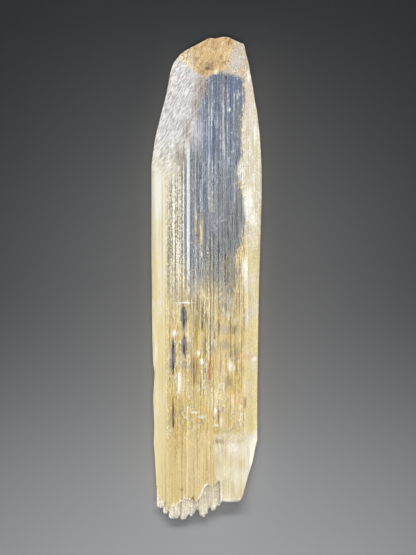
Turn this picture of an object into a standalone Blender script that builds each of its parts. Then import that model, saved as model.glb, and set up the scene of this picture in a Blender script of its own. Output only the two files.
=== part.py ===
"""Kunzite crystal: a single flattened blade of spodumene, lying on its broad back face.

+X runs across the blade, +Y along it towards the chisel-shaped termination, and +Z out of the
front face. The origin is the middle of the box's underside. Lengths are millimetres until the
last step, which writes each mesh in metres.

The blade is two skins over one outline, the front and the back, that meet in a sharp edge all
round. Columns of points run lengthwise, one on each side of every growth step, so each striation
is a long flat terrace. Each skin is a prism profile cut by end faces, and rows of points follow
the edges where those faces meet. Etched fingers of crystal are joined to the broken lower end.
"""

import math
import random
from collections import namedtuple

import bmesh
import bpy
import numpy as np
from mathutils import Vector, noise

MM = 0.001
SEED = 11

# The blade's size: 121.5 long, 27.6 wide and 11.9 thick.
HALF_LENGTH = 60.75
HALF_WIDTH = 13.8
FRONT_Z = 11.9
FRONT, BACK = 1, -1

# The outline of the termination, from the left edge over the top to the right edge, as x, y.
TOP_OUTLINE = (
    (-HALF_WIDTH, 28.5), (-12.9, 35.2), (-11.4, 41.2), (-10.1, 46.2), (-9.5, 49.3), (-9.0, 52.2),
    (-8.2, 54.3), (-6.7, 56.2), (-4.6, 57.7), (-2.8, 58.6), (-0.7, 59.7), (0.6, 60.5), (2.3, 60.3),
    (4.2, HALF_LENGTH), (5.4, 60.6), (7.4, 59.6), (8.8, 59.0), (9.4, 58.9), (9.8, 56.4),
    (10.4, 54.3), (10.9, 51.2), (11.4, 48.9), (12.0, 45.0), (12.7, 41.4), (13.3, 36.0),
    (HALF_WIDTH, 28.8),
)

# The outline of the broken end between the same two edges.
BOTTOM_OUTLINE = (
    (-HALF_WIDTH, -53.0), (-12.4, -55.6), (-10.8, -57.3), (-9.5, -58.2), (-7.5, -59.0),
    (-4.5, -59.1), (-3.1, -58.6), (-2.3, -57.0), (-1.6, -58.2), (0.5, -57.5), (0.9, -56.9),
    (2.7, -56.2), (3.6, -55.6), (8.4, -55.8), (9.3, -54.0), (9.8, -51.8), (10.4, -50.0),
    (11.2, -48.2), (12.4, -45.6), (13.2, -42.4), (HALF_WIDTH, -40.4),
)

# The front layer of the blade stops short of that, at a jagged break down to the layer behind.
BREAK_LINE = (
    (-11.0, -56.7), (-9.4, -57.3), (-7.4, -56.5), (-6.4, -55.6), (-5.4, -54.8), (-4.1, -55.2),
    (-3.4, -54.2), (-2.6, -55.8), (-1.6, -54.5), (-0.6, -52.3), (0.4, -51.2), (1.4, -51.9),
    (2.4, -51.0), (3.4, -49.9), (3.6, -53.8), (8.4, -54.4), (9.6, -50.6), (HALF_WIDTH, -38.8),
)
BREAK_RISER = 0.35
BREAK_TO_X = 3.5
LAYER_Z = 8.6

# How far each long edge draws in from the half width, by y.
LEFT_DRAW_IN = (
    (-56.0, 1.4), (-50.0, 1.2), (-41.0, 0.6), (-36.5, 0.7), (-30.0, 0.4), (-23.5, 0.8),
    (-21.0, 0.4), (-14.0, 0.2), (7.0, 0.0), (60.0, 0.0),
)
RIGHT_DRAW_IN = (
    (-56.0, 0.9), (-38.0, 1.1), (-27.0, 1.1), (-10.0, 0.8), (1.0, 0.6), (10.0, 0.3), (20.0, 0.0),
    (60.0, 0.0),
)
DRAW_IN_FROM_X = 9.0

# Each skin across the blade, as x, z: two steep prism faces with the broad face between them.
FRONT_PROFILE = (
    (-HALF_WIDTH, 5.5), (-10.0, 10.3), (-5.0, 11.3), (-4.3, FRONT_Z), (8.8, FRONT_Z),
    (HALF_WIDTH, 6.5),
)
BACK_PROFILE = ((-HALF_WIDTH, 5.0), (-10.0, 0.35), (-9.2, 0.0), (8.2, 0.0), (HALF_WIDTH, 6.0))

# The end faces, each a plane through a point with slopes along x and y, and how rough it is.
EndFace = namedtuple("EndFace", "x y z slope_x slope_y roughness")
FLANK = EndFace(-2.9, 39.75, FRONT_Z, 0.71, -0.178, 0.05)
CROWN = EndFace(-2.6, 49.75, FRONT_Z, 0.288, -0.686, 0.32)
SHOULDER = EndFace(3.9, 52.25, FRONT_Z, -0.216, -0.54, 0.12)
BACK_FLANK = EndFace(-11.7, 40.0, 5.2, -1.05, 0.27, 0.05)
BACK_TIP = EndFace(0.6, 60.5, 5.3, -0.1, 0.85, 0.15)
BACK_CHEEK = EndFace(11.2, 49.5, 6.8, 1.16, 0.21, 0.05)
# On each skin: the face left of the tip, the face at the tip, and the face right of it.
FRONT_END_FACES = (FLANK, CROWN, SHOULDER)
BACK_END_FACES = (BACK_FLANK, BACK_TIP, BACK_CHEEK)
TIP_X = 1.5
ROUGHNESS_PITCH = 1.3
LEDGE_PITCH = 3.2
LEDGE_HEIGHT = 0.18
LEDGE_DIRECTION = math.radians(57.0)

# Growth steps between the two prism faces.
TERRACES_FROM_X = -10.0
TERRACES_TO_X = 8.8
TERRACE_WIDTH = 0.92
RISER_WIDTH = 0.12
FRONT_STEP = 0.30
BACK_STEP = 0.35
BROAD_BACK_X = (-2.2, 2.2)
STEP_STATIONS = (-60.0, -38.0, -16.0, 6.0, 28.0, 61.0)

# The prism faces' own columns, and the small ledges that run along them.
LEFT_BEVEL_X = (-HALF_WIDTH, -13.0, -12.1, -11.9, -10.9)
RIGHT_BEVEL_X = (9.7, 10.7, 10.9, 12.1, 12.3, 13.1, HALF_WIDTH)
BEVEL_LEDGE = 0.22

# Etch slots in the front, as x, lowest y, highest y and depth. Each has a narrow terrace.
Slot = namedtuple("Slot", "x low high depth")
SLOTS = (
    Slot(-8.3, -37.4, -30.8, 1.1),
    Slot(-8.3, -23.3, -15.0, 1.0),
    Slot(-5.6, -18.2, -12.4, 0.8),
    Slot(-5.6, -12.4, -7.0, 1.1),
    Slot(-3.1, -25.8, -20.2, 0.8),
    Slot(-1.1, -12.4, -7.0, 0.7),
)
SLOT_WIDTH = 0.45

# A thin cleavage flake has come off the lower right of the front.
FLAKE_FROM_X = 1.7
FLAKE_TOP = -37.4
FLAKE_FADE = 3.4
FLAKE_DEPTH = 0.7
FLAKE_TILT = 0.06

# Rows of points up the blade. The lowest are given by their distance from the outline or the
# break, the middle ones by y, and the rest by their share of the way to the next feature.
RIM_ROWS = (0.0, 0.3, 0.9)
LOW_SHARES = (0.06, 0.18, 0.4, 0.7)
FIXED_ROWS = (
    -37.4, -34.1, -30.8, -25.8, -23.3, -20.2, -18.2, -15.0, -12.4, -9.8, -7.0, 0.0, 9.0, 18.0,
)
NECK_SHARES = (0.4, 0.75)
RIDGE_SHARES = (0.0, 0.16, 0.32, 0.48, 0.65, 0.82)
TOP_SHARES = (0.0, 0.35, 0.7, 1.0)
LEAST_NECK = 1.5
LEAST_END_ZONE = 1.3
LEAST_RIDGE_GAP = 0.4
END_EDGE_Z = 5.0
END_ROUNDING = 1.5
SKIN_GAP = 0.5

# Etched fingers at the broken end, as x, tip y, half width, and the height of the axis.
Finger = namedtuple("Finger", "x tip half_width z")
FINGERS = (
    Finger(-11.7, -57.8, 0.85, 5.8),
    Finger(-9.9, -59.2, 0.70, 7.2),
    Finger(-8.4, -60.6, 1.10, 5.8),
    Finger(-7.1, -60.1, 0.50, 7.6),
    Finger(-5.6, -HALF_LENGTH, 0.95, 5.4),
    Finger(-6.3, -58.9, 0.60, 8.3),
    Finger(-4.7, -59.7, 0.65, 7.8),
    Finger(-3.4, -59.6, 0.70, 5.8),
    Finger(-3.0, -58.4, 0.50, 8.1),
    Finger(-1.7, -59.7, 0.60, 6.8),
    Finger(-0.6, -59.7, 1.15, 5.2),
    Finger(0.2, -58.0, 0.70, 7.2),
    Finger(1.9, -58.5, 0.85, 5.0),
    Finger(3.2, -56.8, 0.55, 5.0),
    Finger(4.6, -56.3, 0.45, 5.8),
    Finger(5.7, -56.4, 0.40, 5.2),
    Finger(-9.6, -58.9, 0.80, 3.0),
    Finger(-7.0, -59.6, 0.95, 2.6),
    Finger(-4.3, -59.5, 0.80, 2.9),
    Finger(-1.9, -59.0, 0.90, 2.5),
    Finger(0.6, -58.2, 0.75, 2.8),
)
FINGER_SIDES = 7
FINGER_ROOT_Y = -52.5
FINGER_DEPTH_RATIO = 1.15
FINGER_RINGS = ((2.2, 1.0), (1.0, 0.9), (0.3, 0.58), (0.0, 0.2))
FINGER_ROOT_SHARE = 0.8

CRYSTAL_COLOUR = (0.78, 0.66, 0.42, 1.0)
CRYSTAL_ROUGHNESS = 0.18
CRYSTAL_IOR = 1.66
CRYSTAL_TRANSMISSION = 0.85

Column = namedtuple("Column", "x terrace middle")


def along(points, value):
    """Reads a list of pairs as a line graph."""
    return float(np.interp(value, [p[0] for p in points], [p[1] for p in points]))


def smooth_step(low, high, value):
    """Rises smoothly from 0 at low to 1 at high."""
    share = min(1.0, max(0.0, (value - low) / (high - low)))
    return share * share * (3.0 - 2.0 * share)


def clear_scene():
    """Removes whatever the file opened with."""
    for obj in list(bpy.data.objects):
        bpy.data.objects.remove(obj, do_unlink=True)


def terrace_spans(rng):
    """The start and end of each terrace: narrow ones at the slots and uneven ones between."""
    spans = []
    start = TERRACES_FROM_X
    slot_centres = sorted({slot.x for slot in SLOTS})
    for centre in slot_centres + [None]:
        stop = TERRACES_TO_X if centre is None else centre - SLOT_WIDTH / 2
        count = max(1, round((stop - start) / TERRACE_WIDTH))
        widths = [rng.uniform(0.6, 1.4) for _ in range(count)]
        edges = start + (stop - start) * np.cumsum([0.0] + widths) / sum(widths)
        spans += list(zip(edges[:-1], edges[1:]))
        if centre is not None:
            start = centre + SLOT_WIDTH / 2
            spans.append((stop, start))
    return spans


def make_columns(spans):
    """Every column of points from the left edge to the right, two on each terrace."""
    inset = RISER_WIDTH / 2
    left = [Column(x, None, x) for x in LEFT_BEVEL_X]
    right = [Column(x, None, x) for x in RIGHT_BEVEL_X]
    terraced = []
    for index, (start, stop) in enumerate(spans):
        middle = (start + stop) / 2
        terraced.append(Column(start + inset, index, middle))
        terraced.append(Column(stop - inset, index, middle))
    return left + terraced + right


def front_steps(rng, spans):
    """How far each terrace of the front stands off its face at each station along the blade."""
    return [[-rng.uniform(0, FRONT_STEP) for _ in STEP_STATIONS] for _ in spans]


def back_steps(rng, spans):
    """The same for the back, which is flat down its middle, where it rests."""
    steps = []
    for start, stop in spans:
        depth = rng.choice((0.0, 0.5, 1.0)) * BACK_STEP
        levels = [depth * rng.uniform(0.5, 1.0) for _ in STEP_STATIONS]
        if BROAD_BACK_X[0] < (start + stop) / 2 < BROAD_BACK_X[1]:
            levels = [0.0 for _ in STEP_STATIONS]
        steps.append(levels)
    return steps


class Skin:
    """One side of the blade: its prism profile, its growth steps and its end faces."""

    def __init__(self, side, profile, steps, end_faces):
        self.side = side
        self.profile = profile
        self.steps = steps
        self.end_faces = end_faces

    def prism(self, column, y):
        """The height before the end faces cut it."""
        height = along(self.profile, column.middle)
        if column.terrace is not None:
            height += float(np.interp(y, STEP_STATIONS, self.steps[column.terrace]))
        if self.side == BACK:
            return height
        if column.x in (LEFT_BEVEL_X[3], RIGHT_BEVEL_X[1], RIGHT_BEVEL_X[3]):
            height += BEVEL_LEDGE
        return height - slot_depth(column, y) - flake_depth(column, y)

    def plane(self, face, x, y):
        """The height of an end face."""
        return face.z + face.slope_x * (x - face.x) + face.slope_y * (y - face.y)

    def cutting_face(self, x, y):
        """The end face that cuts deepest here."""
        return min(self.end_faces, key=lambda face: self.side * self.plane(face, x, y))

    def height(self, column, y):
        """The skin's height: the prism, cut by the end faces and rounded at the broken end."""
        prism = self.prism(column, y)
        face = self.cutting_face(column.x, y)
        cut = self.plane(face, column.x, y)
        inside = self.side * (prism - cut)
        if inside > 0.0:
            relief = face.roughness * noise.noise(Vector((column.x, y, 0.0)) / ROUGHNESS_PITCH)
            if face is FLANK:
                relief += ledge(column.x, y)
            prism = cut + relief * min(1.0, inside)
        return self.side * min(self.side * prism, self.side * self.end_limit(column, y))

    def end_limit(self, column, y):
        """How far the broken end lets the skin stand out: it rounds to the edge, then steps."""
        broad = LAYER_Z if self.side == FRONT else 0.0
        past_break = (y - along(BREAK_LINE, column.x)) / BREAK_RISER + 0.5
        if self.side == FRONT and (column.x > BREAK_TO_X or past_break > 0.0):
            steep = 1.0 if column.x > BREAK_TO_X else min(1.0, past_break)
            broad += (FRONT_Z - LAYER_Z) * steep
        reach = min(1.0, max(0.0, (y - along(BOTTOM_OUTLINE, column.x)) / END_ROUNDING))
        return END_EDGE_Z + (broad - END_EDGE_Z) * math.sqrt(1.0 - (1.0 - reach) ** 2)

    def meeting(self, column, level, first, second=None):
        """Where, going up the column, one face reaches a level or crosses a second face."""
        slope = first.slope_y - (second.slope_y if second else 0.0)
        base = self.plane(first, column.x, 0.0)
        other = self.plane(second, column.x, 0.0) if second else level
        return (other - base) / slope

    def row_heights(self, column):
        """The y of each point up one column."""
        bottom = along(BOTTOM_OUTLINE, column.x)
        edge = max(along(BREAK_LINE, column.x), bottom + RIM_ROWS[-1] + BREAK_RISER)
        top = along(TOP_OUTLINE, column.x)
        level = self.prism(column, top)
        start = min(self.meeting(column, level, face) for face in self.end_faces)
        start = max(min(start, top - LEAST_END_ZONE), FIXED_ROWS[-1] + LEAST_NECK)
        left_face, tip_face, right_face = self.end_faces
        beside = left_face if column.x < TIP_X else right_face
        ridge = self.meeting(column, level, beside, tip_face)
        ridge = min(max(ridge, start + LEAST_RIDGE_GAP), top - LEAST_RIDGE_GAP)
        rows = [bottom + distance for distance in RIM_ROWS]
        rows += [edge - BREAK_RISER / 2, edge + BREAK_RISER / 2]
        rows += [edge + share * (FIXED_ROWS[0] - edge) for share in LOW_SHARES]
        rows += FIXED_ROWS
        rows += [FIXED_ROWS[-1] + share * (start - FIXED_ROWS[-1]) for share in NECK_SHARES]
        rows += [start + share * (ridge - start) for share in RIDGE_SHARES]
        rows += [ridge + share * (top - ridge) for share in TOP_SHARES]
        return rows

    def points(self, columns):
        """The skin as an array of columns, rows and coordinates."""
        return np.array([
            [(drawn_in(c.x, y), y, self.height(c, y)) for y in self.row_heights(c)]
            for c in columns
        ])


def slot_depth(column, y):
    """The depth of an etch slot in the column's terrace, if one is there."""
    for slot in SLOTS:
        if abs(column.middle - slot.x) < SLOT_WIDTH / 2 and slot.low < y < slot.high:
            return slot.depth
    return 0.0


def flake_depth(column, y):
    """How much the missing flake takes off."""
    across = column.middle - FLAKE_FROM_X
    if across < 0.0:
        return 0.0
    return smooth_step(FLAKE_TOP, FLAKE_TOP - FLAKE_FADE, y) * (FLAKE_DEPTH + FLAKE_TILT * across)


def ledge(x, y):
    """Low slanting ledges that etching left on the flank."""
    across = x * math.sin(LEDGE_DIRECTION) - y * math.cos(LEDGE_DIRECTION)
    phase = (across / LEDGE_PITCH) % 1.0
    return LEDGE_HEIGHT * (phase if phase < 0.75 else 3.0 * (1.0 - phase))


def drawn_in(x, y):
    """The column's own x, moved where the long edges aren't straight."""
    left = smooth_step(-DRAW_IN_FROM_X, -HALF_WIDTH, x) * along(LEFT_DRAW_IN, y)
    right = smooth_step(DRAW_IN_FROM_X, HALF_WIDTH, x) * along(RIGHT_DRAW_IN, y)
    return x + left - right


def kept_apart(front, back, columns, front_skin):
    """Holds the back's inner points at least a little below the front."""
    for i, column in enumerate(columns[1:-1], start=1):
        for j in range(1, back.shape[1] - 1):
            y = back[i, j, 1]
            inset = min(y - front[i, 0, 1], front[i, -1, 1] - y, 1.0)
            ceiling = front_skin.height(column, y) - SKIN_GAP * inset
            back[i, j, 2] = min(back[i, j, 2], ceiling)
    return back


def new_object(name, bm):
    """Writes a mesh in millimetres as an object in metres."""
    bmesh.ops.scale(bm, vec=(MM, MM, MM), verts=bm.verts)
    bmesh.ops.recalc_face_normals(bm, faces=bm.faces)
    mesh = bpy.data.meshes.new(name)
    bm.to_mesh(mesh)
    bm.free()
    obj = bpy.data.objects.new(name, mesh)
    bpy.context.scene.collection.objects.link(obj)
    return obj


def add_blade(rng):
    """Skins the front and the back, which share their outline."""
    spans = terrace_spans(rng)
    columns = make_columns(spans)
    front_skin = Skin(FRONT, FRONT_PROFILE, front_steps(rng, spans), FRONT_END_FACES)
    back_skin = Skin(BACK, BACK_PROFILE, back_steps(rng, spans), BACK_END_FACES)
    front = front_skin.points(columns)
    back = kept_apart(front, back_skin.points(columns), columns, front_skin)
    last_column, last_row = front.shape[0] - 1, front.shape[1] - 1
    bm = bmesh.new()
    upper = [[bm.verts.new(point) for point in line] for line in front]
    lower = [
        [
            upper[i][j] if i in (0, last_column) or j in (0, last_row) else bm.verts.new(back[i, j])
            for j in range(last_row + 1)
        ]
        for i in range(last_column + 1)
    ]
    for i in range(last_column):
        for j in range(last_row):
            bm.faces.new((upper[i][j], upper[i + 1][j], upper[i + 1][j + 1], upper[i][j + 1]))
            bm.faces.new((lower[i][j + 1], lower[i + 1][j + 1], lower[i + 1][j], lower[i][j]))
    return new_object("kunzite_crystal", bm)


def add_finger(index, finger, rng):
    """One etched finger: a tapering prism from its root inside the blade to a blunt tip."""
    turn = rng.uniform(0.0, math.tau)
    length = FINGER_ROOT_Y - finger.tip
    bm = bmesh.new()
    rings = []
    for before_tip, width in ((length / finger.half_width, FINGER_ROOT_SHARE),) + FINGER_RINGS:
        y = finger.tip + before_tip * finger.half_width
        radius = width * finger.half_width
        angles = [turn + math.tau * side / FINGER_SIDES for side in range(FINGER_SIDES)]
        rings.append([
            bm.verts.new((
                finger.x + radius * math.cos(angle),
                y,
                finger.z + radius * FINGER_DEPTH_RATIO * math.sin(angle),
            ))
            for angle in angles
        ])
    for ring, following in zip(rings[:-1], rings[1:]):
        for side in range(FINGER_SIDES):
            after = (side + 1) % FINGER_SIDES
            bm.faces.new((ring[side], ring[after], following[after], following[side]))
    bm.faces.new(rings[0])
    bm.faces.new(rings[-1])
    obj = new_object(f"finger_{index}", bm)
    obj.hide_render = True
    obj.display_type = "WIRE"
    return obj


def crystal_material():
    """Clear, faintly straw-coloured spodumene."""
    material = bpy.data.materials.new("spodumene")
    material.use_nodes = True
    shader = material.node_tree.nodes["Principled BSDF"]
    shader.inputs["Base Color"].default_value = CRYSTAL_COLOUR
    shader.inputs["Roughness"].default_value = CRYSTAL_ROUGHNESS
    shader.inputs["Metallic"].default_value = 0.0
    shader.inputs["IOR"].default_value = CRYSTAL_IOR
    shader.inputs["Transmission Weight"].default_value = CRYSTAL_TRANSMISSION
    return material


def main():
    """Builds the crystal as one solid."""
    clear_scene()
    rng = random.Random(SEED)
    crystal = add_blade(rng)
    crystal.data.materials.append(crystal_material())
    for index, finger in enumerate(FINGERS, start=1):
        union = crystal.modifiers.new(f"finger_{index}", "BOOLEAN")
        union.operation = "UNION"
        union.solver = "EXACT"
        union.object = add_finger(index, finger, rng)


main()
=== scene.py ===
"""The looks of the kunzite crystal: a finely striated blade, its finish, the floor and the light.

The crystal lies on its broad back face. +X runs across it, +Y along it towards the chisel-shaped
end, and +Z out of its front face. Sizes are millimetres inside the classes and metres in meshes.
"""

import logging
import math
import random
from dataclasses import dataclass, field
from enum import Enum

import bpy
import numpy as np
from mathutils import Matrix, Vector, noise


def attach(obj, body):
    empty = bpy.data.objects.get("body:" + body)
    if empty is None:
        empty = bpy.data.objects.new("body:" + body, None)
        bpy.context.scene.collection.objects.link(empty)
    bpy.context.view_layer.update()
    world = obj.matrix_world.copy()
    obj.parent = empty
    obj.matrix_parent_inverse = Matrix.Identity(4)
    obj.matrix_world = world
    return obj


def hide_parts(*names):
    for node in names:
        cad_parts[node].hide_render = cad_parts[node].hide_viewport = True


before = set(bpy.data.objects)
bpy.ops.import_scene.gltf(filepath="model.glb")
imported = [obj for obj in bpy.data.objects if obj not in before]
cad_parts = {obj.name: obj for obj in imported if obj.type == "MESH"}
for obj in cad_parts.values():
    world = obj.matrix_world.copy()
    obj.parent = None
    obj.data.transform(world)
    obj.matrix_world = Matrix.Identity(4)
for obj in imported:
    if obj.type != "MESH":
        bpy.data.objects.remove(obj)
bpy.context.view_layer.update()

MM = 0.001
MERGE_DISTANCE = 1e-7
ETCH_TURN = math.radians(57.0)
SMOOTH_BELOW = math.radians(28.0)
NOISE_SLICE = 3.7
CRYSTAL_NODE = "kunzite_crystal"
log = logging.getLogger("kunzite")

Point = tuple[float, float]
Colour = tuple[float, float, float, float]


class Side(Enum):
    """Which skin of the blade is meant, with its direction along Z."""

    FRONT = 1
    BACK = -1


def tint(red: int, green: int, blue: int) -> Colour:
    """A screen colour as linear light.

    Args:
        red: Its red, from 0 to 255.
        green: Its green.
        blue: Its blue.

    Returns:
        The colour, opaque.
    """
    channels = [c / 255 for c in (red, green, blue)]
    linear = [c / 12.92 if c <= 0.04045 else ((c + 0.055) / 1.055) ** 2.4 for c in channels]
    return (linear[0], linear[1], linear[2], 1.0)


def graph(points: tuple[Point, ...], values: np.ndarray) -> np.ndarray:
    """Reads pairs as a line graph at each value."""
    return np.interp(values, [p[0] for p in points], [p[1] for p in points])


def smooth_step(low: float, high: float, values: np.ndarray) -> np.ndarray:
    """Rises smoothly from 0 at low to 1 at high."""
    share = np.clip((values - low) / (high - low), 0.0, 1.0)
    return share * share * (3.0 - 2.0 * share)


def rough_field(x: np.ndarray, y: np.ndarray, pitch_x: float, pitch_y: float) -> np.ndarray:
    """Smooth random relief from about -1 to 1.

    Args:
        x: Places across the blade.
        y: Places along it, in an array of the same shape.
        pitch_x: The grain's width in millimetres.
        pitch_y: The grain's length in millimetres.

    Returns:
        The relief at each place.
    """
    flat = [
        noise.noise(Vector((a / pitch_x, b / pitch_y, NOISE_SLICE)))
        for a, b in zip(x.ravel().tolist(), y.ravel().tolist())
    ]
    return np.array(flat).reshape(x.shape)


def deselect_all() -> None:
    """Leaves nothing selected, so that an operator acts on new geometry alone."""
    if bpy.context.object and bpy.context.object.mode != "OBJECT":
        bpy.ops.object.mode_set(mode="OBJECT")
    bpy.ops.object.select_all(action="DESELECT")


def select_only(*objects: bpy.types.Object) -> None:
    """Selects objects and leaves the rest unselected.

    Args:
        objects: What to select. The first becomes the active one.
    """
    deselect_all()
    for obj in objects:
        obj.select_set(True)
    bpy.context.view_layer.objects.active = objects[0]


def apply_union(target: bpy.types.Object, tool: bpy.types.Object) -> None:
    """Joins one closed shape to another by a Boolean.

    Args:
        target: The shape that stays, with the other in it.
        tool: The shape that is joined to it and then removed.
    """
    union = target.modifiers.new("union", "BOOLEAN")
    union.operation = "UNION"
    union.solver = "EXACT"
    union.object = tool
    select_only(target)
    bpy.ops.object.modifier_apply(modifier=union.name)
    bpy.data.objects.remove(tool, do_unlink=True)


def close_up(shape: bpy.types.Object) -> None:
    """Merges the points that meet and turns every face outwards.

    Args:
        shape: The mesh to close.
    """
    select_only(shape)
    bpy.ops.object.mode_set(mode="EDIT")
    bpy.ops.mesh.select_all(action="SELECT")
    bpy.ops.mesh.remove_doubles(threshold=MERGE_DISTANCE)
    bpy.ops.mesh.normals_make_consistent(inside=False)
    bpy.ops.object.mode_set(mode="OBJECT")


@dataclass(frozen=True)
class Grain:
    """Random relief: its depth, and the width and length of its bumps."""

    depth: float
    wide: float
    long: float

    def at(self, x: np.ndarray, y: np.ndarray) -> np.ndarray:
        """The relief at each place."""
        return self.depth * rough_field(x, y, self.wide, self.long)


@dataclass(frozen=True)
class EndFace:
    """A plane that cuts the prism at its upper end."""

    x: float
    y: float
    z: float
    slope_x: float
    slope_y: float

    def height(self, x: np.ndarray, y: np.ndarray) -> np.ndarray:
        """The plane's height at each place."""
        return self.z + self.slope_x * (x - self.x) + self.slope_y * (y - self.y)


@dataclass(frozen=True)
class Slot:
    """A narrow etch slot in the front."""

    x: float
    low: float
    high: float
    depth: float


@dataclass
class Striations:
    """The growth steps across one skin: narrow strips at their own levels and slants."""

    edges: np.ndarray
    levels: np.ndarray
    slants: np.ndarray
    stations: np.ndarray

    def at(self, strip: int, y: np.ndarray, edge: float) -> np.ndarray:
        """How far a strip's edge stands off the face.

        Args:
            strip: The strip's number from the left.
            y: Places along the blade.
            edge: -1 for its left edge and 1 for its right one.

        Returns:
            The offset at each place.
        """
        level = np.interp(y, self.stations, self.levels[strip])
        return level + edge * np.interp(y, self.stations, self.slants[strip])


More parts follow.
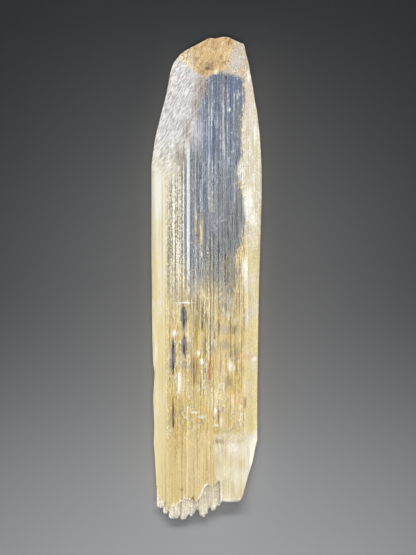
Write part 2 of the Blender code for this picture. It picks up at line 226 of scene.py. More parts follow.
@dataclass
class Blade:
    """The striated blade: two skins of points over one outline."""

    half_width: float = 13.8
    front_z: float = 11.89
    edge_z: float = 5.0
    layer_z: float = 8.6
    riser: float = 0.035
    break_riser: float = 0.6
    break_to_x: float = 3.5
    strips_from: float = -10.0
    strips_to: float = 8.8
    fine_strips: Point = (0.16, 0.36)
    wide_strips: Point = (0.45, 0.95)
    wide_share: float = 0.3
    least_strip: float = 0.12
    split_strip: float = 0.4
    slot_half: float = 0.2
    stations: int = 19
    station_reach: float = 62.0
    start_level: float = -0.12
    deepest_level: float = -0.30
    level_drift: float = 0.16
    level_wobble: float = 0.05
    steepest_slant: float = 0.10
    slant_share: float = 0.22
    rest_from: float = -2.2
    rest_to: float = 2.2
    left_bevel_to: float = -10.3
    right_bevel_from: float = 9.0
    tip_x: float = 1.5
    slab_x: float = 1.7
    slab_top: float = -37.4
    slab_full: float = -40.8
    neck_from: float = 18.0
    flank_from: float = 19.5
    row_crowding: float = 1.3
    row_gap: float = 0.4
    tip_gap: float = 1.3
    foot_gap: float = 1.2
    foot_rise: tuple[float, ...] = (0.0, 0.1, 0.25, 0.5, 0.8)
    ledge_pitch: float = 1.15
    ledge_depth: float = 0.15
    ledge_low: float = 0.3
    ledge_sway: Grain = Grain(0.35, 3.0, 7.0)
    ledge_patches: Grain = Grain(0.6, 1.5, 5.0)
    crown_fibres: Grain = Grain(0.16, 0.55, 2.2)
    crown_lumps: Grain = Grain(0.22, 1.3, 1.8)
    fibre_slope: float = 0.35
    shoulder_grit: Grain = Grain(0.06, 0.8, 0.8)
    shoulder_lumps: Grain = Grain(0.07, 1.9, 2.4)
    back_lumps: Grain = Grain(0.08, 1.2, 2.0)
    relief_reach: float = 0.8
    bevel_step: float = 0.55
    bevel_depth: float = 0.10
    bevel_wave: float = 9.0
    flake_least: float = 0.7
    flake_slope: float = 0.06
    flake_rim: float = 0.2
    flake_rim_slope: float = 0.4
    foot_round: float = 1.5
    foot_ribs: float = 0.2
    rib_rate: float = 7.3
    swell_slope: float = 1.6
    least_swell: float = -1.4
    most_swell: float = 0.6
    rim_reach: float = 1.0
    least_thickness: float = 0.5
    seed: int = 23
    left_columns: int = 15
    right_columns: int = 20
    low_rows: int = 26
    body_rows: int = 52
    neck_rows: int = 8
    flank_rows: int = 64
    crown_rows: int = 26
    top_outline: tuple[Point, ...] = (
        (-13.8, 28.5), (-12.9, 35.2), (-11.4, 41.2), (-10.1, 46.2), (-9.5, 49.3), (-9.0, 52.2),
        (-8.2, 54.3), (-6.7, 56.2), (-4.6, 57.7), (-2.8, 58.6), (-0.7, 59.7), (0.6, 60.5),
        (2.3, 60.3), (4.2, 60.7), (5.4, 60.6), (7.4, 59.6), (8.8, 59.0), (9.4, 58.9),
        (9.8, 56.4), (10.4, 54.3), (10.9, 51.2), (11.4, 48.9), (12.0, 45.0), (12.7, 41.4),
        (13.3, 36.0), (13.8, 28.8),
    )
    bottom_outline: tuple[Point, ...] = (
        (-13.8, -53.0), (-12.8, -54.9), (-12.2, -56.6), (-11.6, -57.4), (-11.1, -57.2),
        (-10.8, -56.9), (-10.3, -58.4), (-9.9, -58.9), (-9.5, -58.3), (-8.9, -59.6), (-8.4, -60.0),
        (-7.8, -59.6), (-7.4, -59.5), (-7.0, -59.7), (-6.4, -59.0), (-6.0, -59.8), (-5.6, -60.2),
        (-5.0, -59.6), (-4.1, -58.9), (-3.4, -59.1), (-2.8, -58.6), (-2.3, -57.0), (-2.0, -58.6),
        (-1.6, -59.4), (-0.8, -59.5), (0.0, -58.8), (0.6, -57.6), (0.9, -57.2), (1.4, -57.8),
        (2.0, -58.2), (2.5, -57.2), (3.0, -56.5), (3.5, -56.3), (3.9, -55.8), (4.9, -56.0),
        (8.4, -55.8), (9.3, -54.0), (9.8, -51.8), (10.4, -50.0), (11.2, -48.2), (12.4, -45.6),
        (13.2, -42.4), (13.8, -40.4),
    )
    end_curve: tuple[Point, ...] = (
        (-13.8, -54.0), (-10.0, -58.0), (-5.5, -59.4), (0.0, -58.4), (3.5, -56.2), (13.8, -40.0),
    )
    break_line: tuple[Point, ...] = (
        (-11.0, -56.7), (-9.4, -57.3), (-7.4, -56.5), (-6.4, -55.6), (-5.4, -54.8),
        (-4.1, -55.2), (-3.4, -54.2), (-2.6, -55.8), (-1.6, -54.5), (-0.6, -52.3), (0.4, -51.2),
        (1.4, -51.9), (2.4, -51.0), (3.4, -49.9), (3.6, -53.8), (8.4, -54.4), (9.6, -50.6),
        (13.8, -38.8),
    )
    left_draw_in: tuple[Point, ...] = (
        (-56.0, 1.4), (-50.0, 1.2), (-41.0, 0.6), (-36.5, 0.7), (-30.0, 0.4), (-23.5, 0.8),
        (-21.0, 0.4), (-14.0, 0.2), (7.0, 0.0), (60.0, 0.0),
    )
    right_draw_in: tuple[Point, ...] = (
        (-56.0, 0.9), (-38.0, 1.1), (-27.0, 1.1), (-10.0, 0.8), (1.0, 0.6), (10.0, 0.3),
        (20.0, 0.0), (60.0, 0.0),
    )
    front_profile: tuple[Point, ...] = (
        (-13.8, 5.5), (-10.0, 10.3), (-5.0, 11.3), (-4.3, 11.89), (8.8, 11.89), (13.8, 6.5),
    )
    back_profile: tuple[Point, ...] = (
        (-13.8, 5.0), (-10.0, 0.35), (-9.2, 0.0), (8.2, 0.0), (13.8, 6.0),
    )
    slots: tuple[Slot, ...] = (
        Slot(-8.3, -37.4, -30.8, 1.1), Slot(-8.3, -23.3, -15.0, 1.0), Slot(-5.6, -18.2, -13.0, 0.8),
        Slot(-5.6, -12.0, -7.0, 1.1), Slot(-3.1, -25.8, -20.2, 0.8), Slot(-1.1, -12.4, -7.8, 0.7),
    )
    flank: EndFace = EndFace(-2.9, 39.75, 11.9, 0.71, -0.178)
    crown: EndFace = EndFace(-2.6, 49.75, 11.9, 0.288, -0.686)
    shoulder: EndFace = EndFace(3.9, 52.25, 11.9, -0.216, -0.54)
    back_flank: EndFace = EndFace(-11.7, 40.0, 5.2, -1.05, 0.27)
    back_tip: EndFace = EndFace(0.6, 60.5, 5.3, -0.1, 0.85)
    back_cheek: EndFace = EndFace(11.2, 49.5, 6.8, 1.16, 0.21)
    rng: random.Random = field(init=False)

    def __post_init__(self) -> None:
        """Starts the random numbers at the same place each time."""
        self.rng = random.Random(self.seed)

    def strip_edges(self) -> np.ndarray:
        """Divides a skin into strips, with a narrow one at each slot.

        Returns:
            The edges of the strips, from the left.
        """
        edges = [self.strips_from]
        half = self.slot_half
        centres = sorted({slot.x for slot in self.slots})
        while edges[-1] < self.strips_to:
            wide = self.rng.random() < self.wide_share
            width = self.rng.uniform(*(self.wide_strips if wide else self.fine_strips))
            ahead = [c for c in centres if c - half > edges[-1]]
            if ahead and edges[-1] + width > ahead[0] - half:
                edges += [ahead[0] - half, ahead[0] + half]
                centres.remove(ahead[0])
            else:
                edges.append(edges[-1] + width)
        edges[-1] = self.strips_to
        if edges[-1] - edges[-2] < self.least_strip:
            edges.pop(-2)
        return np.array(edges)

    def striations(self, edges: np.ndarray, side: Side) -> Striations:
        """Gives each strip a level and a slant that drift along the blade.

        Args:
            edges: The edges of the strips.
            side: Which skin they are on.

        Returns:
            The growth steps.
        """
        stations = np.linspace(-self.station_reach, self.station_reach, self.stations)
        # The lowest stretch is nearly smooth.
        calm = np.interp(stations, (-42.0, -28.0), (0.3, 1.0))
        count = len(edges) - 1
        levels = np.zeros((count, len(stations)))
        slants = np.zeros((count, len(stations)))
        drift, wobble = self.level_drift, self.level_wobble
        walk = self.start_level
        for strip in range(count):
            width = edges[strip + 1] - edges[strip]
            steepest = min(self.steepest_slant, self.slant_share * width)
            walk = min(0.0, max(self.deepest_level, walk + self.rng.uniform(-drift, drift)))
            for station in range(len(stations)):
                levels[strip, station] = min(0.0, walk + self.rng.uniform(-wobble, wobble))
                slants[strip, station] = self.rng.uniform(-0.5, 0.5) * steepest
            levels[strip] *= calm
            slants[strip] *= calm
            middle = (edges[strip] + edges[strip + 1]) / 2
            if side is Side.BACK and self.rest_from < middle < self.rest_to:
                levels[strip] = 0.0
                slants[strip] = 0.0
        if side is Side.BACK:
            levels = -levels
        return Striations(edges, levels, slants, stations)

    def column_places(self, edges: np.ndarray) -> list[tuple[float, int, float]]:
        """Places the columns of points, from the left edge to the right one.

        Args:
            edges: The edges of the strips.

        Returns:
            Each column's x, its strip or -1 on a bevel, and its edge of the strip.
        """
        left_xs = np.linspace(-self.half_width, self.left_bevel_to, self.left_columns)
        right_xs = np.linspace(self.right_bevel_from, self.half_width, self.right_columns)
        left = [(x, -1, 0.0) for x in left_xs]
        right = [(x, -1, 0.0) for x in right_xs]
        inner = []
        for strip, (start, stop) in enumerate(zip(edges[:-1], edges[1:])):
            inner += [(start + self.riser / 2, strip, -1.0), (stop - self.riser / 2, strip, 1.0)]
            if stop - start > self.split_strip:
                inner.insert(-1, ((start + stop) / 2, strip, 0.0))
        return left + inner + right

    def row_places(self, x: float, level: float, faces: tuple[EndFace, ...]) -> np.ndarray:
        """The y of each point up one column, with rows on the edges where faces meet.

        Args:
            x: The column's place.
            level: The prism's height near the end.
            faces: The end face left of the tip, at the tip, and right of it.

        Returns:
            The rows' places from the broken end up.
        """
        bottom = float(graph(self.bottom_outline, x))
        top = float(graph(self.top_outline, x))
        edge = max(float(graph(self.break_line, x)), bottom + self.foot_gap)
        meets = [f.y + (level - f.z - f.slope_x * (x - f.x)) / f.slope_y for f in faces]
        start = max(min(min(meets), top - self.tip_gap), self.flank_from)
        beside = faces[0] if x < self.tip_x else faces[2]
        base = float(beside.height(x, 0.0) - faces[1].height(x, 0.0))
        ridge = base / (faces[1].slope_y - beside.slope_y)
        ridge = min(max(ridge, start + self.row_gap), top - self.row_gap)
        upper_edge = edge + self.break_riser / 2
        # The rows crowd towards the broken edge.
        low_shares = np.linspace(0.0, 1.0, self.low_rows + 1)[1:-1] ** self.row_crowding
        parts = [
            bottom + np.array(self.foot_rise),
            [edge - self.break_riser / 2, upper_edge],
            upper_edge + (self.slab_top - upper_edge) * low_shares,
            np.linspace(self.slab_top, self.neck_from, self.body_rows),
            np.linspace(self.neck_from, start, self.neck_rows + 1)[1:-1],
            np.linspace(start, ridge, self.flank_rows + 1)[:-1],
            np.linspace(ridge, top, self.crown_rows),
        ]
        return np.concatenate(parts)

    def slot_depth(self, x: float, y: np.ndarray) -> np.ndarray:
        """The depth that the etch slots take off a column.

        Args:
            x: The column's place.
            y: The rows' places.

        Returns:
            The depth at each row.
        """
        depth = np.zeros_like(y)
        for slot in self.slots:
            if abs(x - slot.x) < self.slot_half:
                share = np.clip((y - slot.low) / (slot.high - slot.low), 0.0, 1.0)
                depth += slot.depth * np.sqrt(np.sin(math.pi * share).clip(0.0, 1.0))
        return depth

    def flake_depth(self, x: float, y: np.ndarray) -> np.ndarray:
        """How much the flake missing from the lower right takes off.

        Args:
            x: The column's place.
            y: The rows' places.

        Returns:
            The depth at each row.
        """
        if x < self.slab_x:
            return np.zeros_like(y)
        deep = self.flake_least + self.flake_slope * (x - self.slab_x)
        depth = min(deep, self.flake_rim + self.flake_rim_slope * (self.half_width - x))
        return smooth_step(self.slab_top, self.slab_full, y) * depth

    def bevel_relief(self, x: float, y: np.ndarray) -> np.ndarray:
        """Fine steps that run along the two steep prism faces.

        Args:
            x: The column's place.
            y: The rows' places.

        Returns:
            The relief at each row.
        """
        strip = math.floor(x / self.bevel_step)
        # A sine of a large angle scatters the levels of the steps.
        level = math.sin(strip * 12.9898) * self.bevel_depth
        return level * (0.6 + 0.4 * np.sin(y / self.bevel_wave + strip * 2.1))

    def flank_relief(self, x: np.ndarray, y: np.ndarray) -> np.ndarray:
        """Slanting etch ledges on the frosted flank.

        Args:
            x: Places across the blade.
            y: Places along it.

        Returns:
            The relief at each place.
        """
        across = x * math.sin(ETCH_TURN) - y * math.cos(ETCH_TURN)
        along = x * math.cos(ETCH_TURN) + y * math.sin(ETCH_TURN)
        across = across + self.ledge_sway.at(across, along)
        ledge = np.abs((across / self.ledge_pitch) % 1.0 - self.ledge_low)
        patch = self.ledge_patches.depth + self.ledge_patches.at(across, along)
        return self.ledge_depth * ledge * patch

    def relief(self, face: EndFace, x: np.ndarray, y: np.ndarray) -> np.ndarray:
        """The etch relief of an end face.

        Args:
            face: The end face.
            x: Places across the blade.
            y: Places along it.

        Returns:
            The relief at each place.
        """
        if face is self.flank:
            return self.flank_relief(x, y)
        if face is self.crown:
            fibres = self.crown_fibres.at(x - self.fibre_slope * y, y)
            return fibres + self.crown_lumps.at(x, y)
        if face is self.shoulder:
            return self.shoulder_grit.at(x, y) + self.shoulder_lumps.at(x, y)
        return self.back_lumps.at(x, y)

    def end_limit(self, side: Side, x: float, y: np.ndarray) -> np.ndarray:
        """How far the broken end lets a skin stand out: it rounds to the edge, then steps.

        Args:
            side: Which skin.
            x: The column's place.
            y: The rows' places.

        Returns:
            The limit at each row.
        """
        bottom = float(graph(self.bottom_outline, x))
        broad = np.full_like(y, self.layer_z if side is Side.FRONT else 0.0)
        if side is Side.FRONT:
            edge = max(float(graph(self.break_line, x)), bottom + self.foot_gap)
            steep = np.clip((y - edge) / self.break_riser + 0.5, 0.0, 1.0)
            if x > self.break_to_x:
                steep = np.ones_like(y)
            broad += (self.front_z - self.layer_z) * steep
            swell = self.swell_slope * (float(graph(self.end_curve, x)) - bottom)
            swell = min(self.most_swell, max(self.least_swell, swell))
            ribs = swell + self.foot_ribs * math.sin(x * self.rib_rate + 1.0)
            broad += ribs * (1.0 - steep)
        reach = np.clip((y - bottom) / self.foot_round, 0.0, 1.0)
        return self.edge_z + (broad - self.edge_z) * np.sqrt(1.0 - (1.0 - reach) ** 2)

    def skin_height(
        self, side: Side, steps: Striations, column: tuple[float, int, float], y: np.ndarray
    ) -> np.ndarray:
        """The height of one column of a skin.

        Args:
            side: Which skin.
            steps: Its growth steps.
            column: The column's x, strip and edge.
            y: The rows' places.

        Returns:
            The height at each row.
        """
        x, strip, edge = column
        sign = side.value
        profile = self.front_profile if side is Side.FRONT else self.back_profile
        faces = (self.flank, self.crown, self.shoulder)
        if side is Side.BACK:
            faces = (self.back_flank, self.back_tip, self.back_cheek)
        prism = np.full_like(y, float(graph(profile, x)))
        if strip >= 0:
            prism += steps.at(strip, y, edge)
        elif side is Side.FRONT:
            prism += self.bevel_relief(x, y)
        if side is Side.FRONT:
            prism -= self.slot_depth(x, y) + self.flake_depth(x, y)
        else:
            prism = np.maximum(prism, 0.0)
        for face in faces:
            cut = face.height(np.full_like(y, x), y)
            inside = sign * (prism - cut)
            touched = inside > 0.0
            if touched.any():
                bumps = np.zeros_like(y)
                bumps[touched] = self.relief(face, np.full(touched.sum(), x), y[touched])
                bumps *= np.clip(inside / self.relief_reach, 0.0, 1.0)
                prism = np.where(touched, cut + bumps, prism)
        limit = self.end_limit(side, x, y)
        return sign * np.minimum(sign * prism, sign * limit)

    def drawn_in(self, x: float, y: np.ndarray) -> np.ndarray:
        """The column's x, moved where the long edges aren't straight.

        Args:
            x: The column's place.
            y: The rows' places.

        Returns:
            The x of each row.
        """
        flat, rim = self.right_bevel_from, self.half_width
        left = smooth_step(-flat, -rim, np.array(x)) * graph(self.left_draw_in, y)
        right = smooth_step(flat, rim, np.array(x)) * graph(self.right_draw_in, y)
        return x + left - right

    def skins(self) -> tuple[np.ndarray, np.ndarray]:
        """Shapes both skins.

        Returns:
            Each as an array of columns, rows and coordinates. The two have the same rim.
        """
        edges = self.strip_edges()
        columns = self.column_places(edges)
        front_steps = self.striations(edges, Side.FRONT)
        back_steps = self.striations(edges, Side.BACK)
        front_faces = (self.flank, self.crown, self.shoulder)
        back_faces = (self.back_flank, self.back_tip, self.back_cheek)
        front, back = [], []
        for column in columns:
            x = column[0]
            level = float(graph(self.front_profile, x))
            y = self.row_places(x, level, front_faces)
            z = self.skin_height(Side.FRONT, front_steps, column, y)
            front.append(np.stack([self.drawn_in(x, y), y, z], axis=1))
            under = float(graph(self.back_profile, x))
            y = self.row_places(x, under, back_faces)
            z = self.skin_height(Side.BACK, back_steps, column, y)
            above = self.skin_height(Side.FRONT, front_steps, column, y)
            inset = np.minimum(np.minimum(y - y[0], y[-1] - y), self.rim_reach)
            z = np.minimum(z, above - self.least_thickness * inset)
            back.append(np.stack([self.drawn_in(x, y), y, z], axis=1))
        front_skin, back_skin = np.array(front), np.array(back)
        for rim in (np.s_[0, :], np.s_[-1, :], np.s_[:, 0], np.s_[:, -1]):
            back_skin[rim] = front_skin[rim]
        return front_skin, back_skin

    def build(self) -> bpy.types.Object:
        """Shapes a grid into each skin and welds the two along their rim.

        Returns:
            The blade, closed.
        """
        halves = []
        for name, skin in zip(("front", "back"), self.skins()):
            deselect_all()
            columns, rows = skin.shape[:2]
            bpy.ops.mesh.primitive_grid_add(
                x_subdivisions=columns - 1, y_subdivisions=rows - 1, size=1.0, location=(0, 0, 0)
            )
            half = bpy.context.object
            half.name = name
            half.data.vertices.foreach_set("co", (skin * MM).transpose(1, 0, 2).ravel())
            half.data.update()
            if name == "back":
                half.data.flip_normals()
            halves.append(half)
        select_only(*halves)
        bpy.ops.object.join()
        blade = bpy.context.object
        close_up(blade)
        blade.name = "crystal"
        return blade


@dataclass(frozen=True)
class Lobe:
    """A bundle of etched fingers at the broken end: its edges, tip and height."""

    left: float
    right: float
    tip: float
    z: float


@dataclass
class FingerCluster:
    """The etched fingers behind the broken edge."""

    root_y: float = -51.5
    finger_half: float = 0.46
    depth_ratio: float = 1.5
    blunt_reach: float = 1.7
    widening: float = 0.05
    flutes: float = 0.10
    knots: float = 0.05
    flute_count: int = 3
    knot_rate: float = 2.2
    ring_crowding: float = 1.6
    closed_from: float = 0.985
    most_lean: float = 0.03
    pitch_ratio: float = 1.5
    plumpness: Point = (0.58, 0.72)
    side_drop: float = 1.3
    tip_scatter: float = 0.25
    height_scatter: float = 0.5
    seed: int = 5
    front_lobes: tuple[Lobe, ...] = (
        Lobe(-12.5, -10.9, -57.8, 5.4), Lobe(-10.9, -9.6, -59.2, 5.6),
        Lobe(-9.5, -7.8, -60.5, 5.2), Lobe(-7.8, -6.9, -60.1, 6.0),
        Lobe(-6.6, -5.0, -60.75, 5.2), Lobe(-4.8, -2.8, -59.6, 5.6),
        Lobe(-1.9, 0.3, -59.8, 5.4), Lobe(1.0, 2.4, -58.6, 5.4), Lobe(2.7, 3.6, -56.9, 5.2),
    )
    back_lobes: tuple[Lobe, ...] = (
        Lobe(-10.6, -8.6, -58.9, 2.6), Lobe(-8.4, -5.8, -59.6, 2.4),
        Lobe(-5.4, -3.0, -59.4, 2.7), Lobe(-2.6, -0.6, -58.9, 2.4), Lobe(-0.3, 1.4, -57.9, 2.8),
    )

    def build_finger(
        self, x: float, tip: float, z: float, half: float, rng: random.Random
    ) -> bpy.types.Object:
        """Draws a ball out into one finger, blunt and a little lumpy.

        Args:
            x: Its place across the crystal.
            tip: How far down it reaches.
            z: Its height.
            half: Half its width.
            rng: The cluster's random numbers.

        Returns:
            The finger, closed.
        """
        deselect_all()
        length = self.root_y - tip
        bpy.ops.mesh.primitive_uv_sphere_add(
            segments=12, ring_count=16, radius=1.0, location=(0, 0, 0), rotation=(math.pi / 2, 0, 0)
        )
        obj = bpy.context.object
        bpy.ops.object.transform_apply(location=True, rotation=True, scale=True)
        co = np.empty(len(obj.data.vertices) * 3)
        obj.data.vertices.foreach_get("co", co)
        co = co.reshape(-1, 3)
        # Rings crowd at the tip, where the finger rounds off.
        along = (np.arccos(np.clip(co[:, 1], -1.0, 1.0)) / math.pi) ** self.ring_crowding
        girth = np.hypot(co[:, 0], co[:, 2]).clip(1e-6)
        around = np.arctan2(co[:, 2], co[:, 0])
        turn, lean = rng.uniform(0.0, math.tau), rng.uniform(-self.most_lean, self.most_lean)
        from_tip = along * length
        near_tip = np.clip(from_tip / half / self.blunt_reach, 0.0, 1.0)
        radius = half * np.sqrt(1.0 - (1.0 - near_tip) ** 2) * (1.0 + self.widening * from_tip)
        # The last ring closes the finger inside the blade.
        radius *= np.where(along > self.closed_from, 0.0, 1.0)
        fluted = self.flutes * np.cos(self.flute_count * around + turn)
        radius *= 1.0 + fluted + self.knots * np.sin(self.knot_rate * from_tip + turn)
        shaped = np.stack([
            x + lean * from_tip + radius * co[:, 0] / girth,
            tip + from_tip,
            z + radius * self.depth_ratio * co[:, 2] / girth,
        ], axis=1)
        obj.data.vertices.foreach_set("co", (shaped * MM).ravel())
        obj.data.update()
        close_up(obj)
        return obj

    def build_lobe(self, lobe: Lobe, rng: random.Random) -> list[bpy.types.Object]:
        """Makes the fingers of one lobe, the middle ones longest.

        Args:
            lobe: The lobe.
            rng: The cluster's random numbers.

        Returns:
            Its fingers.
        """
        width = lobe.right - lobe.left
        count = max(1, round(width / (self.pitch_ratio * self.finger_half)))
        fingers = []
        for number in range(count):
            share = (number + 0.5) / count
            half = width / count * rng.uniform(*self.plumpness)
            shorter = self.side_drop * (2.0 * abs(share - 0.5)) ** 2
            shorter += rng.uniform(0.0, self.tip_scatter)
            tip = lobe.tip + (shorter if count > 1 else 0.0)
            x = min(max(lobe.left + share * width, lobe.left + half), lobe.right - half)
            z = lobe.z + rng.uniform(-self.height_scatter, self.height_scatter)
            fingers.append(self.build_finger(x, tip, z, half, rng))
        return fingers

    def build(self) -> bpy.types.Object:
        """Makes the fingers and joins them to each other.

        Returns:
            The cluster, closed.
        """
        rng = random.Random(self.seed)
        fingers = []
        for lobe in self.front_lobes + self.back_lobes:
            fingers += self.build_lobe(lobe, rng)
        cluster, *others = fingers
        cluster.name = "fingers"
        for finger in others:
            apply_union(cluster, finger)
        log.info("fingers: %d", len(fingers))
        return cluster


@dataclass
class NodeGraph:
    """Short ways to add and link shader nodes."""

    tree: bpy.types.NodeTree

    def put(self, node: bpy.types.Node, name: str | int, value: object) -> None:
        """Sets an input to a value, or links it to a socket.

        Args:
            node: The node.
            name: The input's name or place.
            value: A socket or a value, or None to leave the input alone.
        """
        if isinstance(value, bpy.types.NodeSocket):
            self.tree.links.new(value, node.inputs[name])
        elif value is not None:
            node.inputs[name].default_value = value

    def math(
        self, operation: str, first: object, second: object = None, third: object = None,
        clamp: bool = False,
    ) -> bpy.types.NodeSocket:
        """A Math node.

        Args:
            operation: What it works out.
            first: Its first number.
            second: Its second, if it has one.
            third: Its third, if it has one.
            clamp: Whether the result is kept from 0 to 1.

        Returns:
            The result.
        """
        node = self.tree.nodes.new("ShaderNodeMath")
        node.operation = operation
        node.use_clamp = clamp
        for place, value in enumerate((first, second, third)):
            self.put(node, place, value)
        return node.outputs[0]

    def step(
        self, value: object, low: object, high: object, start: float = 0.0, stop: float = 1.0
    ) -> bpy.types.NodeSocket:
        """A smooth change over a range, which may run either way.

        Args:
            value: The number that is read.
            low: Where the change starts.
            high: Where it ends.
            start: The result up to low.
            stop: The result from high on.

        Returns:
            The result.
        """
        node = self.tree.nodes.new("ShaderNodeMapRange")
        node.interpolation_type = "SMOOTHSTEP"
        for name, item in zip(
            ("Value", "From Min", "From Max", "To Min", "To Max"), (value, low, high, start, stop)
        ):
            self.put(node, name, item)
        return node.outputs["Result"]

    def blend(self, share: object, first: object, second: object) -> bpy.types.NodeSocket:
        """A mix of two colours.

        Args:
            share: 0 for the first, 1 for the second.
            first: A colour.
            second: Another.

        Returns:
            The mixed colour.
        """
        node = self.tree.nodes.new("ShaderNodeMix")
        node.data_type = "RGBA"
        self.put(node, 0, share)
        self.put(node, 6, first)
        self.put(node, 7, second)
        return node.outputs[2]

    def mix(self, share: object, first: object, second: object) -> bpy.types.NodeSocket:
        """A mix of two numbers.

        Args:
            share: 0 for the first, 1 for the second.
            first: A number.
            second: Another.

        Returns:
            The mixed number.
        """
        node = self.tree.nodes.new("ShaderNodeMix")
        node.data_type = "FLOAT"
        self.put(node, 0, share)
        self.put(node, 2, first)
        self.put(node, 3, second)
        return node.outputs[0]

    def cover(
        self, under: object, over: object, mask: bpy.types.NodeSocket, strength: float
    ) -> bpy.types.NodeSocket:
        """Lays one colour over another, within a mask."""
        return self.blend(self.math("MULTIPLY", mask, strength), under, over)

    def vector(
        self, operation: str, first: object, second: object = None, scale: float | None = None
    ) -> bpy.types.NodeSocket:
        """A Vector Math node.

        Args:
            operation: What it works out.
            first: Its first vector.
            second: Its second, if it has one.
            scale: What it multiplies by, if that is its work.

        Returns:
            The vector.
        """
        node = self.tree.nodes.new("ShaderNodeVectorMath")
        node.operation = operation
        self.put(node, 0, first)
        self.put(node, 1, second)
        self.put(node, "Scale", scale)
        return node.outputs["Vector"]

    def length(self, value: bpy.types.NodeSocket) -> bpy.types.NodeSocket:
        """Measures a vector.

        Args:
            value: The vector.

        Returns:
            Its length.
        """
        node = self.tree.nodes.new("ShaderNodeVectorMath")
        node.operation = "LENGTH"
        self.put(node, 0, value)
        return node.outputs["Value"]

    def parts(self, value: bpy.types.NodeSocket) -> list[bpy.types.NodeSocket]:
        """Takes a vector apart.

        Args:
            value: The vector.

        Returns:
            Its three numbers.
        """
        node = self.tree.nodes.new("ShaderNodeSeparateXYZ")
        self.put(node, 0, value)
        return list(node.outputs)

    def product(self, *shares: bpy.types.NodeSocket) -> bpy.types.NodeSocket:
        """Multiplies masks.

        Args:
            shares: The masks.

        Returns:
            A mask that is 1 only where all of them are.
        """
        total = shares[0]
        for share in shares[1:]:
            total = self.math("MULTIPLY", total, share)
        return total

    def total(
        self, *terms: tuple[bpy.types.NodeSocket, float], plus: float = 0.0
    ) -> bpy.types.NodeSocket:
        """Adds numbers up.

        Args:
            terms: Each number with its weight.
            plus: What is added to them all.

        Returns:
            The weighted sum.
        """
        result: object = plus
        for value, weight in terms:
            result = self.math("MULTIPLY_ADD", value, weight, result)
        return result

    def fray(
        self, value: bpy.types.NodeSocket, *noises: tuple[bpy.types.NodeSocket, float]
    ) -> bpy.types.NodeSocket:
        """Makes a number ragged, so that an edge read from it is ragged too.

        Args:
            value: The number.
            noises: Each noise, and how far it swings the number in all.

        Returns:
            The ragged number.
        """
        return self.total((value, 1.0), *noises, plus=-sum(swing for _, swing in noises) / 2)

    def ramp(self, value: bpy.types.NodeSocket, *stops: tuple[float, Colour]) -> bpy.types.NodeSocket:
        """A colour that changes along the stops.

        Args:
            value: The number that is read.
            stops: Each stop's place and colour, in order.

        Returns:
            The colour.
        """
        node = self.tree.nodes.new("ShaderNodeValToRGB")
        self.put(node, 0, value)
        elements = node.color_ramp.elements
        while len(elements) < len(stops):
            elements.new(0.5)
        for element, (position, colour) in zip(elements, stops):
            element.position, element.color = position, colour
        return node.outputs["Color"]

    def graph(self, value: bpy.types.NodeSocket, points: tuple[Point, ...]) -> bpy.types.NodeSocket:
        """Reads pairs as a line graph at a value.

        Args:
            value: The number that is read.
            points: The graph's points, from the left.

        Returns:
            The graph's height.
        """
        first, last = points[0][0], points[-1][0]
        low, high = min(p[1] for p in points), max(p[1] for p in points)
        span = last - first
        along = self.math("MULTIPLY_ADD", value, 1.0 / span, -first / span, clamp=True)
        stops = []
        for place, height in points:
            level = (height - low) / (high - low)
            stops.append(((place - first) / span, (level, level, level, 1.0)))
        return self.math("MULTIPLY_ADD", self.ramp(along, *stops), high - low, low)

    def contour(self, value: bpy.types.NodeSocket, level: float, half: float) -> bpy.types.NodeSocket:
        """1 on the thin lines where a noise passes a level."""
        off = self.math("ABSOLUTE", self.math("SUBTRACT", value, level))
        return self.step(off, half, half * 0.4)

    def lines(self, value: bpy.types.NodeSocket, detail: float) -> bpy.types.NodeSocket:
        """A noise of one number.

        Args:
            value: The number, one unit to a grain.
            detail: How much finer noise is laid over it.

        Returns:
            The noise, from about 0.2 to 0.8.
        """
        texture = self.tree.nodes.new("ShaderNodeTexNoise")
        texture.noise_dimensions = "1D"
        self.put(texture, "W", value)
        self.put(texture, "Scale", 1.0)
        self.put(texture, "Detail", detail)
        return texture.outputs[0]

    def grain(
        self, place: bpy.types.NodeSocket, pitch: tuple[float, float, float], turn: float = 0.0,
        detail: float = 2.0, shift: float = 0.0,
    ) -> bpy.types.NodeSocket:
        """A noise with its own grain size.

        Args:
            place: The position, in millimetres.
            pitch: The grain's size along each axis.
            turn: The angle about Z by which the grain is turned.
            detail: How much finer noise is laid over it.
            shift: Moves the pattern, so that two grains differ.

        Returns:
            The noise, from about 0.2 to 0.8.
        """
        turned = self.tree.nodes.new("ShaderNodeVectorRotate")
        turned.rotation_type = "Z_AXIS"
        self.put(turned, "Vector", place)
        self.put(turned, "Angle", -turn)
        scaled = self.tree.nodes.new("ShaderNodeMapping")
        self.put(scaled, "Vector", turned.outputs[0])
        self.put(scaled, "Scale", tuple(1.0 / p for p in pitch))
        self.put(scaled, "Location", (shift, shift * 1.7, shift * 0.3))
        texture = self.tree.nodes.new("ShaderNodeTexNoise")
        self.put(texture, "Vector", scaled.outputs[0])
        self.put(texture, "Scale", 1.0)
        self.put(texture, "Detail", detail)
        return texture.outputs[0]


